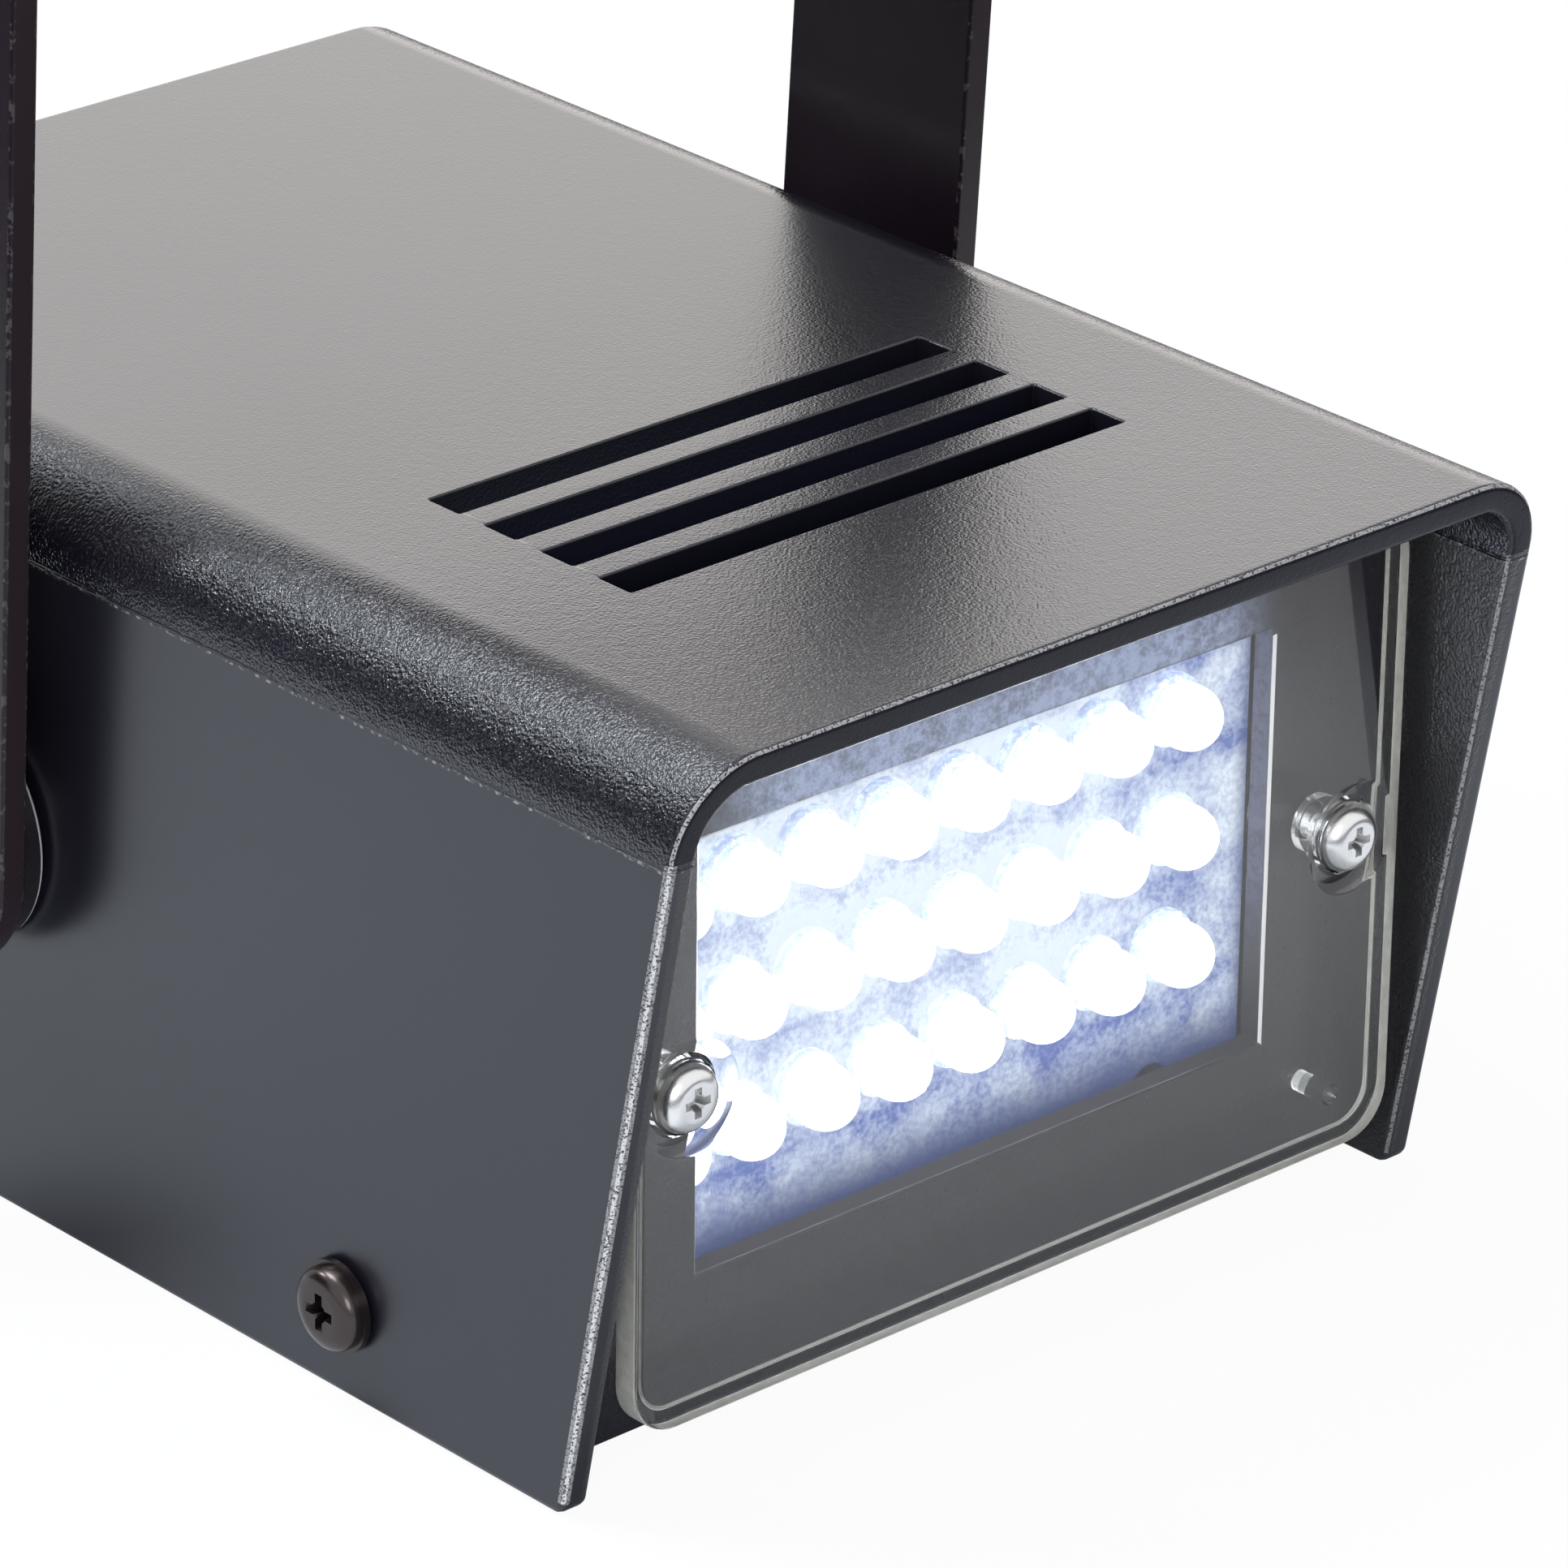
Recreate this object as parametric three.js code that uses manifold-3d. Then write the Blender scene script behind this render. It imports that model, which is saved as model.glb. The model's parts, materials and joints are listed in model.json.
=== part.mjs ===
// LED strobe light: plastic case with a raked hood, clear lens, LED field and tilting steel bracket.
// Millimetres. X runs to the right seen from the lens side, Y to the rear, Z up. The origin is on the
// ground, midway between the case's sides and midway between the hood's lip and the back of the knob.

import * as THREE from 'three';
import { mergeVertices } from 'three/addons/utils/BufferGeometryUtils.js';
import Module from 'manifold-3d';

// Fits
const seatGap = 0.3;
const turnGap = 0.15;
const cutOverrun = 1;

// Case, outside
const caseLength = 127;
const caseWidth = 84;
const caseHeight = 61;
const wallDraft = 0.65;
const cornerRadius = 7;
const sideWall = 2.5;
const topWall = 2.6;
const frontRake = 11.6;
const toeRadius = 1.2;
const footRadius = 0.8;

// Vent slots in the top
const slotCount = 4;
const slotLength = 48;
const slotWidth = 3.4;
const slotPitch = 6.16;
const slotFromRear = 79.3;

// Chassis: floor, front panel and rear panel
const floorRecess = 2.5;
const floorThickness = 2.4;
const panelThickness = 2.2;
const rearPanelInset = 1.2;
const windowFloor = 13.4;
const windowHead = 11;
const windowBossGap = 1.55;
const ledPostRadius = 2;
const ledPostSetback = 3.6;
const lensBossRadius = 3;
const lensBossLength = 1.6;
const coverBossWidth = 8;
const coverBossReach = 6.5;
const coverBossHeight = 6.6;
const standoffRadius = 2.6;
const standoffHeight = 4;

// Lens
const lensSetback = 9.43;
const lensStandoff = 5;
const lensSideGap = 1.8;
const lensRoofGap = 2.35;
const lensFloor = 4.95;
const lensCornerRadius = 4;
const lensPlate = 1.5;
const lensRimDepth = 2.2;
const lensRimWidth = 1.3;
const cupRadius = 4.6;
const cupDepth = 1.8;
const cupWall = 1;
const lensTubeWall = 0.75;
const pegRadius = 0.85;
const pegInset = 5.4;
const pegRise = 4.25;

// Lens screws
const lensScrewInset = 5;
const lensScrew = {
  headRadius: 2.7,
  headHeight: 2.3,
  washerRadius: 2.7,
  washerHeight: 0,
  shankRadius: 1.3,
  shankLength: 9,
  recessLength: 3,
  recessWidth: 0.75,
  recessDepth: 1.2,
};

// Screws through the side walls
const coverScrewFromRear = { front: 91.4, rear: 16 };
const coverScrewHeight = 7.4;
const coverScrew = {
  headRadius: 3.25,
  headHeight: 1.9,
  washerRadius: 3.6,
  washerHeight: 0.5,
  shankRadius: 1.35,
  shankLength: 8,
  recessLength: 3.8,
  recessWidth: 0.9,
  recessDepth: 1.2,
};

// Small screws that hold the two circuit boards
const boardScrew = {
  headRadius: 2.2,
  headHeight: 1.5,
  washerRadius: 2.2,
  washerHeight: 0,
  shankRadius: 1.1,
  shankLength: 5,
  recessLength: 2.4,
  recessWidth: 0.6,
  recessDepth: 0.8,
};

// Heights and widths of a pan head's curve, as shares of its height above the shoulder and of its radius
const panShoulderShare = 0.45;
const panCrownShares = [0.88, 0.62];
const panTopShare = 0.58;

// LEDs and their board: the rows and columns fill the window up to these margins
const ledMostRows = 3;
const ledMostColumns = 8;
const ledLeastPitch = 6.4;
const ledSideMargin = 0.45;
const ledSillMargin = 3.85;
const ledHeadMargin = 5.75;
const ledRadius = 2.5;
const ledFlangeRadius = 2.9;
const ledFlangeHeight = 1;
const ledLength = 5.1;
const ledBoardStandoff = 6.1;
const ledBoardThickness = 1.6;
const ledBoardMargin = 1.6;

// Driver board and what it carries
const driverWidth = 50;
const driverLength = 46;
const driverThickness = 1.6;
const driverFromRear = 69;
const driverHoleInset = 3.6;
const filterRadius = 6.3;
const filterHeight = 20;
const filterNeckShare = 0.93;
const filterHeightShares = [0.12, 0.15, 0.19, 1];
const dropperWidth = 8.5;
const dropperLength = 18;
const dropperHeight = 15;
const rectifierWidth = 6.4;
const rectifierLength = 8.5;
const rectifierHeight = 3.3;
const fuseRadius = 2.6;
const fuseLength = 20;
const fuseCapLength = 5;
const fuseGlassInset = 0.3;
const resistorRadius = 2.3;
const resistorLength = 12;
const resistorEndLength = 2.4;
const resistorWaist = 0.4;
const chipWidth = 6.4;
const chipLength = 9.6;
const chipHeight = 3.3;
const chipLegRise = 1;
const chipLegWidth = 0.6;
const chipLegPitch = 2.54;
const chipLegsPerSide = 4;
const transistorWidth = 10;
const transistorBodyHeight = 9;
const transistorDepth = 4.5;
const transistorTabHeight = 6.4;
const transistorTabThickness = 1.3;
const transistorTabHole = 1.8;
const transistorLegLength = 4;
const transistorLegWidth = 0.9;
const transistorLegPitch = 2.54;
const connectorWidth = 7.4;
const connectorLength = 5.8;
const connectorHeight = 7;
const leadRadius = 1.1;
const leadRise = 10;
const leadPathShares = [[0, 0], [0, 0.45], [0.33, 0.9], [0.75, 1], [1, 1]];

// Bracket, its spacers, nuts and thumb screws
const pivotFromRear = 48.6;
const pivotHeight = 30.75;
const bracketTilt = THREE.MathUtils.degToRad(3.3);
const stripWidth = 19.5;
const stripThickness = 2.3;
const armScrewGap = 0.6;
const bracketSwingGap = 11.4;
const bendRadius = 3;
const hangHoleRadius = 4.25;
const fixingHoleRadius = 2.2;
const fixingHoleSpread = 48;
const spacerRadius = 9.2;
const studRadius = 1.95;
const studTip = 1.2;
const gripRadius = 9;
const gripHeight = 8;
const gripChamfer = 1;
const gripHubRadius = 5.5;
const gripHubHeight = 2;
const gripFlutes = 8;
const gripFluteRadius = 2.2;
const nutAcrossFlats = 7;
const nutThickness = 3.2;
const nutBossWall = 1.6;
const nutBossLip = 0.8;

// Rate control and cord inlet on the rear panel
const controlOffset = 16;
const controlHeight = 34;
const potRadius = 8.2;
const potDepth = 9;
const bushRadius = 3.5;
const bushLength = 6;
const potLugWidth = 1.6;
const potLugLength = 5;
const potLugThickness = 1;
const potLugPitch = 5;
const potLugSink = 2;
const potNutAcrossFlats = 10;
const potNutThickness = 2;
const shaftRadius = 2.6;
const shaftBlindDepth = 6;
const knobRadius = 8.5;
const knobTopRadius = 7.4;
const knobHeight = 12;
const knobChamfer = 0.8;
const knobFloat = 0.6;
const knobSkirtWall = 1.3;
const knobSkirtDepth = 3.2;
const knobFlutes = 10;
const knobFluteRadius = 1.1;
const knobCrown = 1.6;
const pointerWidth = 1.2;
const pointerHeight = 0.5;
const inletOffset = -20;
const inletHeight = 16;
const inletBoreRadius = 3.2;
const inletNeckWall = 1.8;
const inletFlangeRadius = 7.2;
const inletFlangeThickness = 1.8;
const inletLipWidth = 0.9;
const inletLipThickness = 1.2;

// Rounding of curves, in straight steps
const cornerSteps = 8;
const smallCornerSteps = 3;
const ledSides = 12;
const domeSteps = 3;
const holeSides = 10;
const screwSides = 12;
const knobSides = 28;
const leadSides = 8;
const leadSteps = 14;

// Places that follow from the sizes above
const knobReach = knobFloat + knobHeight + pointerHeight - rearPanelInset;
const frontY = -(caseLength + knobReach) / 2;
const rearY = frontY + caseLength;
const lensFrontY = frontY + lensSetback;
const panelFrontY = lensFrontY + lensStandoff;
const panelRearY = panelFrontY + panelThickness;
const ledBoardFrontY = panelRearY + ledBoardStandoff;
const ledBoardRearY = ledBoardFrontY + ledBoardThickness;
const rearPanelOuterY = rearY - rearPanelInset;
const rearPanelInnerY = rearPanelOuterY - panelThickness;
const floorTop = floorRecess + floorThickness;
const roofUnderside = caseHeight - topWall;
const lensHalfWidth = caseWidth / 2 - sideWall - lensSideGap;
const lensTop = roofUnderside - lensRoofGap;
const lensScrewX = lensHalfWidth - lensScrewInset;
const lensScrewZ = (lensFloor + lensTop) / 2;
const windowHalfWidth = lensScrewX - lensBossRadius - windowBossGap;
const windowTop = roofUnderside - windowHead;
const ledPostX = windowHalfWidth - ledPostSetback;
const ledPostOverhang = ledPostRadius + ledBoardMargin / 2;
const ledPostHeights = [floorTop + seatGap + ledPostOverhang, windowTop + ledPostSetback];
const ledBoardHalfWidth = windowHalfWidth + ledBoardStandoff;
const ledEdgeX = windowHalfWidth - ledSideMargin - ledRadius;
const ledColumnPlaces = spread(-ledEdgeX, ledEdgeX, ledMostColumns);
const ledRowPlaces = spread(
  windowTop - ledHeadMargin - ledRadius,
  windowFloor + ledSillMargin + ledRadius,
  ledMostRows,
);
const driverY = rearY - driverFromRear;
const driverFloor = floorTop + standoffHeight + seatGap;
const driverTop = driverFloor + driverThickness;
const pivotY = rearY - pivotFromRear;
const coverScrewSeatX = wallOuterX(coverScrewHeight - coverScrew.washerRadius) + seatGap;
const armInnerX = coverScrewSeatX + coverScrew.headHeight + armScrewGap;
const armOuterX = armInnerX + stripThickness;
const knobSweep = Math.hypot(
  rearY + knobReach - pivotY,
  Math.abs(controlHeight - pivotHeight) + knobRadius,
);
const bracketReach = knobSweep + bracketSwingGap;

const sides = { left: -1, right: 1 };

// X of a side wall's outer face at height z: the walls lean out towards their feet
function wallOuterX(z) {
  const wallTop = caseHeight - cornerRadius;
  return caseWidth / 2 + wallDraft * (1 - Math.min(z, wallTop) / wallTop);
}

function wallInnerX(z) {
  return wallOuterX(z) - sideWall;
}

// Evenly spaced places from one end to the other, as many as fit at the least pitch
function spread(from, to, most) {
  const gaps = Math.min(most - 1, Math.floor(Math.abs(to - from) / ledLeastPitch));
  return Array.from({ length: gaps + 1 }, (_, i) => from + ((to - from) * i) / Math.max(gaps, 1));
}

// Solids

const wasm = await Module();
wasm.setup();

function solidOf(geometry) {
  const bare = geometry.clone();
  bare.deleteAttribute('normal');
  bare.deleteAttribute('uv');
  const welded = mergeVertices(bare);
  return new wasm.Manifold(new wasm.Mesh({
    numProp: 3,
    vertProperties: new Float32Array(welded.attributes.position.array),
    triVerts: new Uint32Array(welded.index.array),
  }));
}

function geometryOf(solid) {
  const mesh = solid.getMesh();
  const indexed = new THREE.BufferGeometry();
  indexed.setAttribute('position', new THREE.BufferAttribute(mesh.vertProperties, 3));
  indexed.setIndex(new THREE.BufferAttribute(mesh.triVerts, 1));
  const faceted = indexed.toNonIndexed();
  faceted.computeVertexNormals();
  return faceted;
}

function joined(solids) {
  return solids.reduce((sum, next) => sum.add(next));
}

function cut(solid, tools) {
  return tools.reduce((rest, tool) => rest.subtract(tool), solid);
}

// A box between two corners
function block(low, high) {
  const size = high.map((value, axis) => value - low[axis]);
  const middle = high.map((value, axis) => (value + low[axis]) / 2);
  return solidOf(new THREE.BoxGeometry(...size).translate(...middle));
}

// A cylinder along one axis: `at` gives the other two coordinates, in X, Y, Z order
function rod(axis, radius, from, to, at, steps = holeSides) {
  const geometry = new THREE.CylinderGeometry(radius, radius, to - from, steps);
  const middle = (from + to) / 2;
  if (axis === 'x') {
    return solidOf(geometry.rotateZ(Math.PI / 2).translate(middle, at[0], at[1]));
  }
  if (axis === 'y') {
    return solidOf(geometry.translate(at[0], middle, at[1]));
  }
  return solidOf(geometry.rotateX(Math.PI / 2).translate(at[0], at[1], middle));
}

// A cutter for a round hole, whose flats stay outside the hole's radius
function bore(axis, radius, from, to, at, steps = holeSides) {
  return rod(axis, radius / Math.cos(Math.PI / steps), from, to, at, steps);
}

// An outline drawn in X and Z, given thickness along Y
function frontPlate(points, fromY, toY) {
  const options = { depth: toY - fromY, bevelEnabled: false };
  const geometry = new THREE.ExtrudeGeometry(new THREE.Shape(points), options);
  return solidOf(geometry.rotateX(Math.PI / 2).translate(0, toY, 0));
}

// An outline drawn in Y and Z, given thickness along X
function sidePlate(points, fromX, toX) {
  const options = { depth: toX - fromX, bevelEnabled: false };
  const geometry = new THREE.ExtrudeGeometry(new THREE.Shape(points), options);
  const turn = new THREE.Matrix4().makeBasis(
    new THREE.Vector3(0, 1, 0),
    new THREE.Vector3(0, 0, 1),
    new THREE.Vector3(1, 0, 0),
  );
  return solidOf(geometry.applyMatrix4(turn).translate(fromX, 0, 0));
}

// A profile of [radius, height] points, bottom to top, turned round the Z axis
function turned(profile, steps) {
  const points = profile.map(([radius, height]) => new THREE.Vector2(radius, height));
  return solidOf(new THREE.LatheGeometry(points, steps).rotateX(Math.PI / 2));
}

function point(x, y) {
  return new THREE.Vector2(x, y);
}

// Points along an arc, both ends included, angles in quarter turns
function arc(x, y, radius, fromQuarter, toQuarter, steps) {
  return Array.from({ length: steps + 1 }, (_, i) => {
    const angle = (fromQuarter + ((toQuarter - fromQuarter) * i) / steps) * (Math.PI / 2);
    return point(x + radius * Math.cos(angle), y + radius * Math.sin(angle));
  });
}

function roundedRectangle(halfWidth, low, high, radius) {
  const x = halfWidth - radius;
  return [
    ...arc(x, low + radius, radius, -1, 0, smallCornerSteps),
    ...arc(x, high - radius, radius, 0, 1, smallCornerSteps),
    ...arc(-x, high - radius, radius, 1, 2, smallCornerSteps),
    ...arc(-x, low + radius, radius, 2, 3, smallCornerSteps),
  ];
}

function hexagon(acrossFlats, x = 0, y = 0, start = 0) {
  const radius = acrossFlats / Math.sqrt(3);
  return Array.from({ length: 6 }, (_, i) => {
    const angle = start + (i * Math.PI) / 3;
    return point(x + radius * Math.cos(angle), y + radius * Math.sin(angle));
  });
}

// Top and sides of the case as an arch of X, Z points, drawn `inset` inside the outer faces
function archOutline(sideInset, topInset, foot) {
  const radius = cornerRadius - sideInset;
  const side = caseWidth / 2 - sideInset;
  const top = caseHeight - topInset;
  const footX = wallOuterX(foot) - sideInset;
  return [
    point(footX, foot),
    ...arc(side - radius, top - radius, radius, 0, 1, cornerSteps),
    ...arc(radius - side, top - radius, radius, 1, 2, cornerSteps),
    point(-footX, foot),
  ];
}

// Materials

function finish(color, roughness, metalness = 0) {
  return new THREE.MeshStandardMaterial({ color, roughness, metalness });
}

const blackPlastic = finish(0x39393c, 0.5);
const chassisPlastic = finish(0x2b2b2e, 0.45);
const blackPaint = finish(0x241f25, 0.3, 0.2);
const blackRubber = finish(0x1d1b1e, 0.7);
const blackSteel = finish(0x141215, 0.25, 0.8);
const brightSteel = finish(0xc9c9cc, 0.22, 1);
const zincSteel = finish(0xa9abb0, 0.35, 1);
const clearPlastic = new THREE.MeshStandardMaterial({
  color: 0xf2f5f7,
  roughness: 0.08,
  metalness: 0,
  transparent: true,
  opacity: 0.25,
});
const ledPlastic = finish(0xf4f6ff, 0.15);
const whiteBoard = finish(0xcfd6ee, 0.5);
const greenBoard = finish(0x1f5a38, 0.5);
const filmPlastic = finish(0x9c2f22, 0.4);
const sleevePlastic = finish(0x1c2440, 0.35);
const glassTube = finish(0xc8ccd0, 0.15);
const ceramic = finish(0xb9a987, 0.7);
const moulding = finish(0x18181a, 0.55);
const whitePlastic = finish(0xe8e6df, 0.5);
const redSleeve = finish(0xb02a26, 0.5);

// Case

function sideOutlineOfCase() {
  const slope = Math.hypot(frontRake, caseHeight);
  const toeY = frontY + frontRake + (toeRadius * (slope - frontRake)) / caseHeight;
  const rakeQuarter = 2 + Math.atan(frontRake / caseHeight) / (Math.PI / 2);
  return [
    point(rearY, 0),
    point(rearY, caseHeight),
    point(frontY, caseHeight),
    ...arc(toeY, toeRadius, toeRadius, rakeQuarter, 3, smallCornerSteps),
  ];
}

// One side of the walls' feet, rounded on both edges, as the X, Z points of a cutter below the wall
function footTrim(side) {
  const outer = wallOuterX(0);
  const inner = wallInnerX(0);
  const reach = footRadius + cutOverrun;
  const outline = [
    point(outer + cutOverrun, footRadius),
    ...arc(outer - footRadius, footRadius, footRadius, 0, -1, smallCornerSteps),
    ...arc(inner + footRadius, footRadius, footRadius, -1, -2, smallCornerSteps),
    point(inner - cutOverrun, footRadius),
    point(inner - cutOverrun, footRadius - reach),
    point(outer + cutOverrun, footRadius - reach),
  ];
  const placed = outline.map(({ x, y }) => point(side * x, y));
  return frontPlate(placed, frontY - cutOverrun, rearY + cutOverrun);
}

function nutBoss(side) {
  const wall = wallInnerX(pivotHeight);
  const radius = (nutAcrossFlats + 2 * seatGap) / Math.sqrt(3) + nutBossWall;
  const depth = nutThickness + seatGap + nutBossLip;
  const ends = [side * (wall - depth), side * (wall + sideWall / 2)].sort((a, b) => a - b);
  return rod('x', radius, ...ends, [pivotY, pivotHeight]);
}

function nutPocket(side) {
  const wall = wallInnerX(pivotHeight);
  const depth = nutThickness + seatGap + nutBossLip + cutOverrun;
  const ends = [side * (wall - depth), side * wall].sort((a, b) => a - b);
  const outline = hexagon(nutAcrossFlats + 2 * seatGap, pivotY, pivotHeight, Math.PI / 2);
  return sidePlate(outline, ...ends);
}

function topCover() {
  const ends = [frontY - cutOverrun, rearY + cutOverrun];
  const reach = wallOuterX(0) + cutOverrun;
  const shell = frontPlate(archOutline(0, 0, 0), ...ends)
    .subtract(frontPlate(archOutline(sideWall, topWall, -cutOverrun), ...ends))
    .intersect(sidePlate(sideOutlineOfCase(), -reach, reach));
  const bosses = Object.values(sides).map(nutBoss);
  const slots = Array.from({ length: slotCount }, (_, i) => {
    const slotRearY = rearY - slotFromRear - i * slotPitch;
    return block(
      [-slotLength / 2, slotRearY - slotWidth, roofUnderside - cutOverrun],
      [slotLength / 2, slotRearY, caseHeight + cutOverrun],
    );
  });
  const screwHoles = Object.values(coverScrewFromRear).map((fromRear) => (
    bore('x', coverScrew.shankRadius + seatGap, -reach, reach, [rearY - fromRear, coverScrewHeight])
  ));
  const studHoles = bore('x', studRadius + seatGap, -reach, reach, [pivotY, pivotHeight]);
  const pockets = Object.values(sides).map(nutPocket);
  const feet = Object.values(sides).map(footTrim);
  return cut(joined([shell, ...bosses]), [...slots, ...screwHoles, studHoles, ...pockets, ...feet]);
}

// Floor and both panels, with the bosses and posts that carry the boards, lens and cover
function baseChassis() {
  const panel = archOutline(sideWall + seatGap, topWall + seatGap, floorRecess);
  const floorX = caseWidth / 2 - sideWall - seatGap;
  const body = [
    frontPlate(panel, panelFrontY, panelRearY),
    frontPlate(panel, rearPanelInnerY, rearPanelOuterY),
    block([-floorX, panelFrontY, floorRecess], [floorX, rearPanelOuterY, floorTop]),
  ];
  const cuts = [
    block(
      [-windowHalfWidth, panelFrontY - cutOverrun, windowFloor],
      [windowHalfWidth, panelRearY + cutOverrun, windowTop],
    ),
    bore('y', bushRadius + seatGap, rearPanelInnerY - cutOverrun, rearPanelOuterY + cutOverrun,
      [controlOffset, controlHeight]),
    bore('y', inletBoreRadius + inletNeckWall + seatGap, rearPanelInnerY - cutOverrun,
      rearPanelOuterY + cutOverrun, [inletOffset, inletHeight]),
  ];
  for (const side of Object.values(sides)) {
    const lensScrewAt = [side * lensScrewX, lensScrewZ];
    body.push(rod('y', lensBossRadius, panelRearY - panelThickness / 2, panelRearY + lensBossLength,
      lensScrewAt));
    cuts.push(bore('y', lensScrew.shankRadius + turnGap, panelFrontY - cutOverrun,
      panelRearY + lensBossLength + cutOverrun, lensScrewAt));
    for (const height of ledPostHeights) {
      const postAt = [side * ledPostX, height];
      body.push(rod('y', ledPostRadius, panelRearY - panelThickness / 2, ledBoardFrontY - seatGap,
        postAt));
      cuts.push(bore('y', boardScrew.shankRadius + turnGap, panelRearY, ledBoardFrontY, postAt));
    }
    for (const fromRear of Object.values(coverScrewFromRear)) {
      const y = rearY - fromRear;
      const xs = [side * (floorX - coverBossReach), side * floorX].sort((a, b) => a - b);
      body.push(block(
        [xs[0], y - coverBossWidth / 2, floorTop - floorThickness / 2],
        [xs[1], y + coverBossWidth / 2, floorTop + coverBossHeight],
      ));
      cuts.push(bore('x', coverScrew.shankRadius + turnGap, xs[0] - cutOverrun, xs[1] + cutOverrun,
        [y, coverScrewHeight]));
    }
    for (const end of [-1, 1]) {
      const at = [driverHoleX(side), driverHoleY(end)];
      body.push(rod('z', standoffRadius, floorTop - floorThickness / 2, floorTop + standoffHeight, at));
      cuts.push(bore('z', boardScrew.shankRadius + turnGap, floorTop, driverFloor, at));
    }
  }
  return cut(joined(body), cuts);
}

// Lens

function lensCover() {
  const outline = roundedRectangle(lensHalfWidth, lensFloor, lensTop, lensCornerRadius);
  const inside = roundedRectangle(lensHalfWidth - lensRimWidth, lensFloor + lensRimWidth,
    lensTop - lensRimWidth, lensCornerRadius - lensRimWidth);
  const cupFloorY = lensFrontY + cupDepth;
  const cupBackY = cupFloorY + cupWall;
  const feetY = panelFrontY - seatGap;
  const plate = frontPlate(outline, lensFrontY, lensFrontY + lensRimDepth)
    .subtract(frontPlate(inside, lensFrontY + lensPlate, lensFrontY + lensRimDepth + cutOverrun));
  const behind = frontPlate(outline, lensFrontY, cupBackY);
  const body = [plate];
  const cuts = [];
  for (const side of Object.values(sides)) {
    const at = [side * lensScrewX, lensScrewZ];
    const tubeBore = lensScrew.shankRadius + seatGap;
    body.push(rod('y', cupRadius + cupWall, lensFrontY, cupBackY, at, knobSides).intersect(behind));
    body.push(rod('y', tubeBore + lensTubeWall, cupFloorY, feetY, at));
    const pegHeight = side > 0 ? lensFloor + pegRise : lensTop - pegRise;
    body.push(rod('y', pegRadius, lensFrontY + lensPlate / 2, feetY,
      [side * (lensHalfWidth - pegInset), pegHeight]));
    cuts.push(bore('y', cupRadius, lensFrontY - cutOverrun, cupFloorY, at, knobSides));
    cuts.push(bore('y', tubeBore, cupFloorY - cutOverrun, feetY + cutOverrun, at));
  }
  return cut(joined(body), cuts);
}

// Fasteners

// A pan-head screw with a cross recess: its seat is at Z 0, its head above and its shank below
function screw(size) {
  const { headRadius, headHeight, washerRadius, washerHeight, shankRadius, shankLength } = size;
  const shoulder = washerHeight + (headHeight - washerHeight) * panShoulderShare;
  const [crownRadiusShare, crownHeightShare] = panCrownShares;
  const washer = washerHeight > 0
    ? [[washerRadius, 0], [washerRadius, washerHeight], [headRadius, washerHeight]]
    : [[headRadius, 0]];
  const body = turned([
    [0, -shankLength],
    [shankRadius / 2, -shankLength],
    [shankRadius, shankRadius - shankLength],
    [shankRadius, 0],
    ...washer,
    [headRadius, shoulder],
    [headRadius * crownRadiusShare, shoulder + (headHeight - shoulder) * crownHeightShare],
    [headRadius * panTopShare, headHeight],
    [0, headHeight],
  ], screwSides);
  const half = size.recessLength / 2;
  const width = size.recessWidth / 2;
  const recessFloor = headHeight - size.recessDepth;
  const recessTop = headHeight + cutOverrun;
  return cut(body, [
    block([-half, -width, recessFloor], [half, width, recessTop]),
    block([-width, -half, recessFloor], [width, half, recessTop]),
  ]);
}

// A hexagonal nut with its round hole, lying on Z 0
function hexNut(acrossFlats, thickness, holeRadius) {
  const options = { depth: thickness, bevelEnabled: false };
  const geometry = new THREE.ExtrudeGeometry(new THREE.Shape(hexagon(acrossFlats)), options);
  return solidOf(geometry)
    .subtract(bore('z', holeRadius, -cutOverrun, thickness + cutOverrun, [0, 0]));
}

// LEDs and LED board

function led() {
  const domeBase = ledLength - ledRadius;
  const dome = arc(0, domeBase, ledRadius, 0, 1, domeSteps).slice(0, -1);
  return turned([
    [0, 0],
    [ledFlangeRadius, 0],
    [ledFlangeRadius, ledFlangeHeight],
    [ledRadius, ledFlangeHeight],
    ...dome.map(({ x, y }) => [x, y]),
    [0, ledLength],
  ], ledSides);
}

function ledBoard() {
  const body = block(
    [-ledBoardHalfWidth, ledBoardFrontY, ledPostHeights[0] - ledPostOverhang],
    [ledBoardHalfWidth, ledBoardRearY, ledPostHeights[1] + ledPostOverhang],
  );
  const holes = Object.values(sides).flatMap((side) => ledPostHeights.map((height) => (
    bore('y', boardScrew.shankRadius + seatGap, ledBoardFrontY - cutOverrun, ledBoardRearY + cutOverrun,
      [side * ledPostX, height])
  )));
  return cut(body, holes);
}

// Driver board

function driverHoleX(side) {
  return side * (driverWidth / 2 - driverHoleInset);
}

function driverHoleY(end) {
  return driverY + end * (driverLength / 2 - driverHoleInset);
}

function driverBoard() {
  const body = block(
    [-driverWidth / 2, driverY - driverLength / 2, driverFloor],
    [driverWidth / 2, driverY + driverLength / 2, driverTop],
  );
  const holes = Object.values(sides).flatMap((side) => [-1, 1].map((end) => (
    bore('z', boardScrew.shankRadius + seatGap, driverFloor - cutOverrun, driverTop + cutOverrun,
      [driverHoleX(side), driverHoleY(end)])
  )));
  return cut(body, holes);
}

// A cylinder lying along Y on Z 0 with thicker ends
function lyingBarrel(radius, length, endLength, waist) {
  const half = length / 2;
  const inner = half - endLength;
  return turned([
    [0, -half],
    [radius, -half],
    [radius, -inner],
    [radius - waist, -inner],
    [radius - waist, inner],
    [radius, inner],
    [radius, half],
    [0, half],
  ], screwSides).rotate([90, 0, 0]).translate([0, 0, radius]);
}

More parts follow.
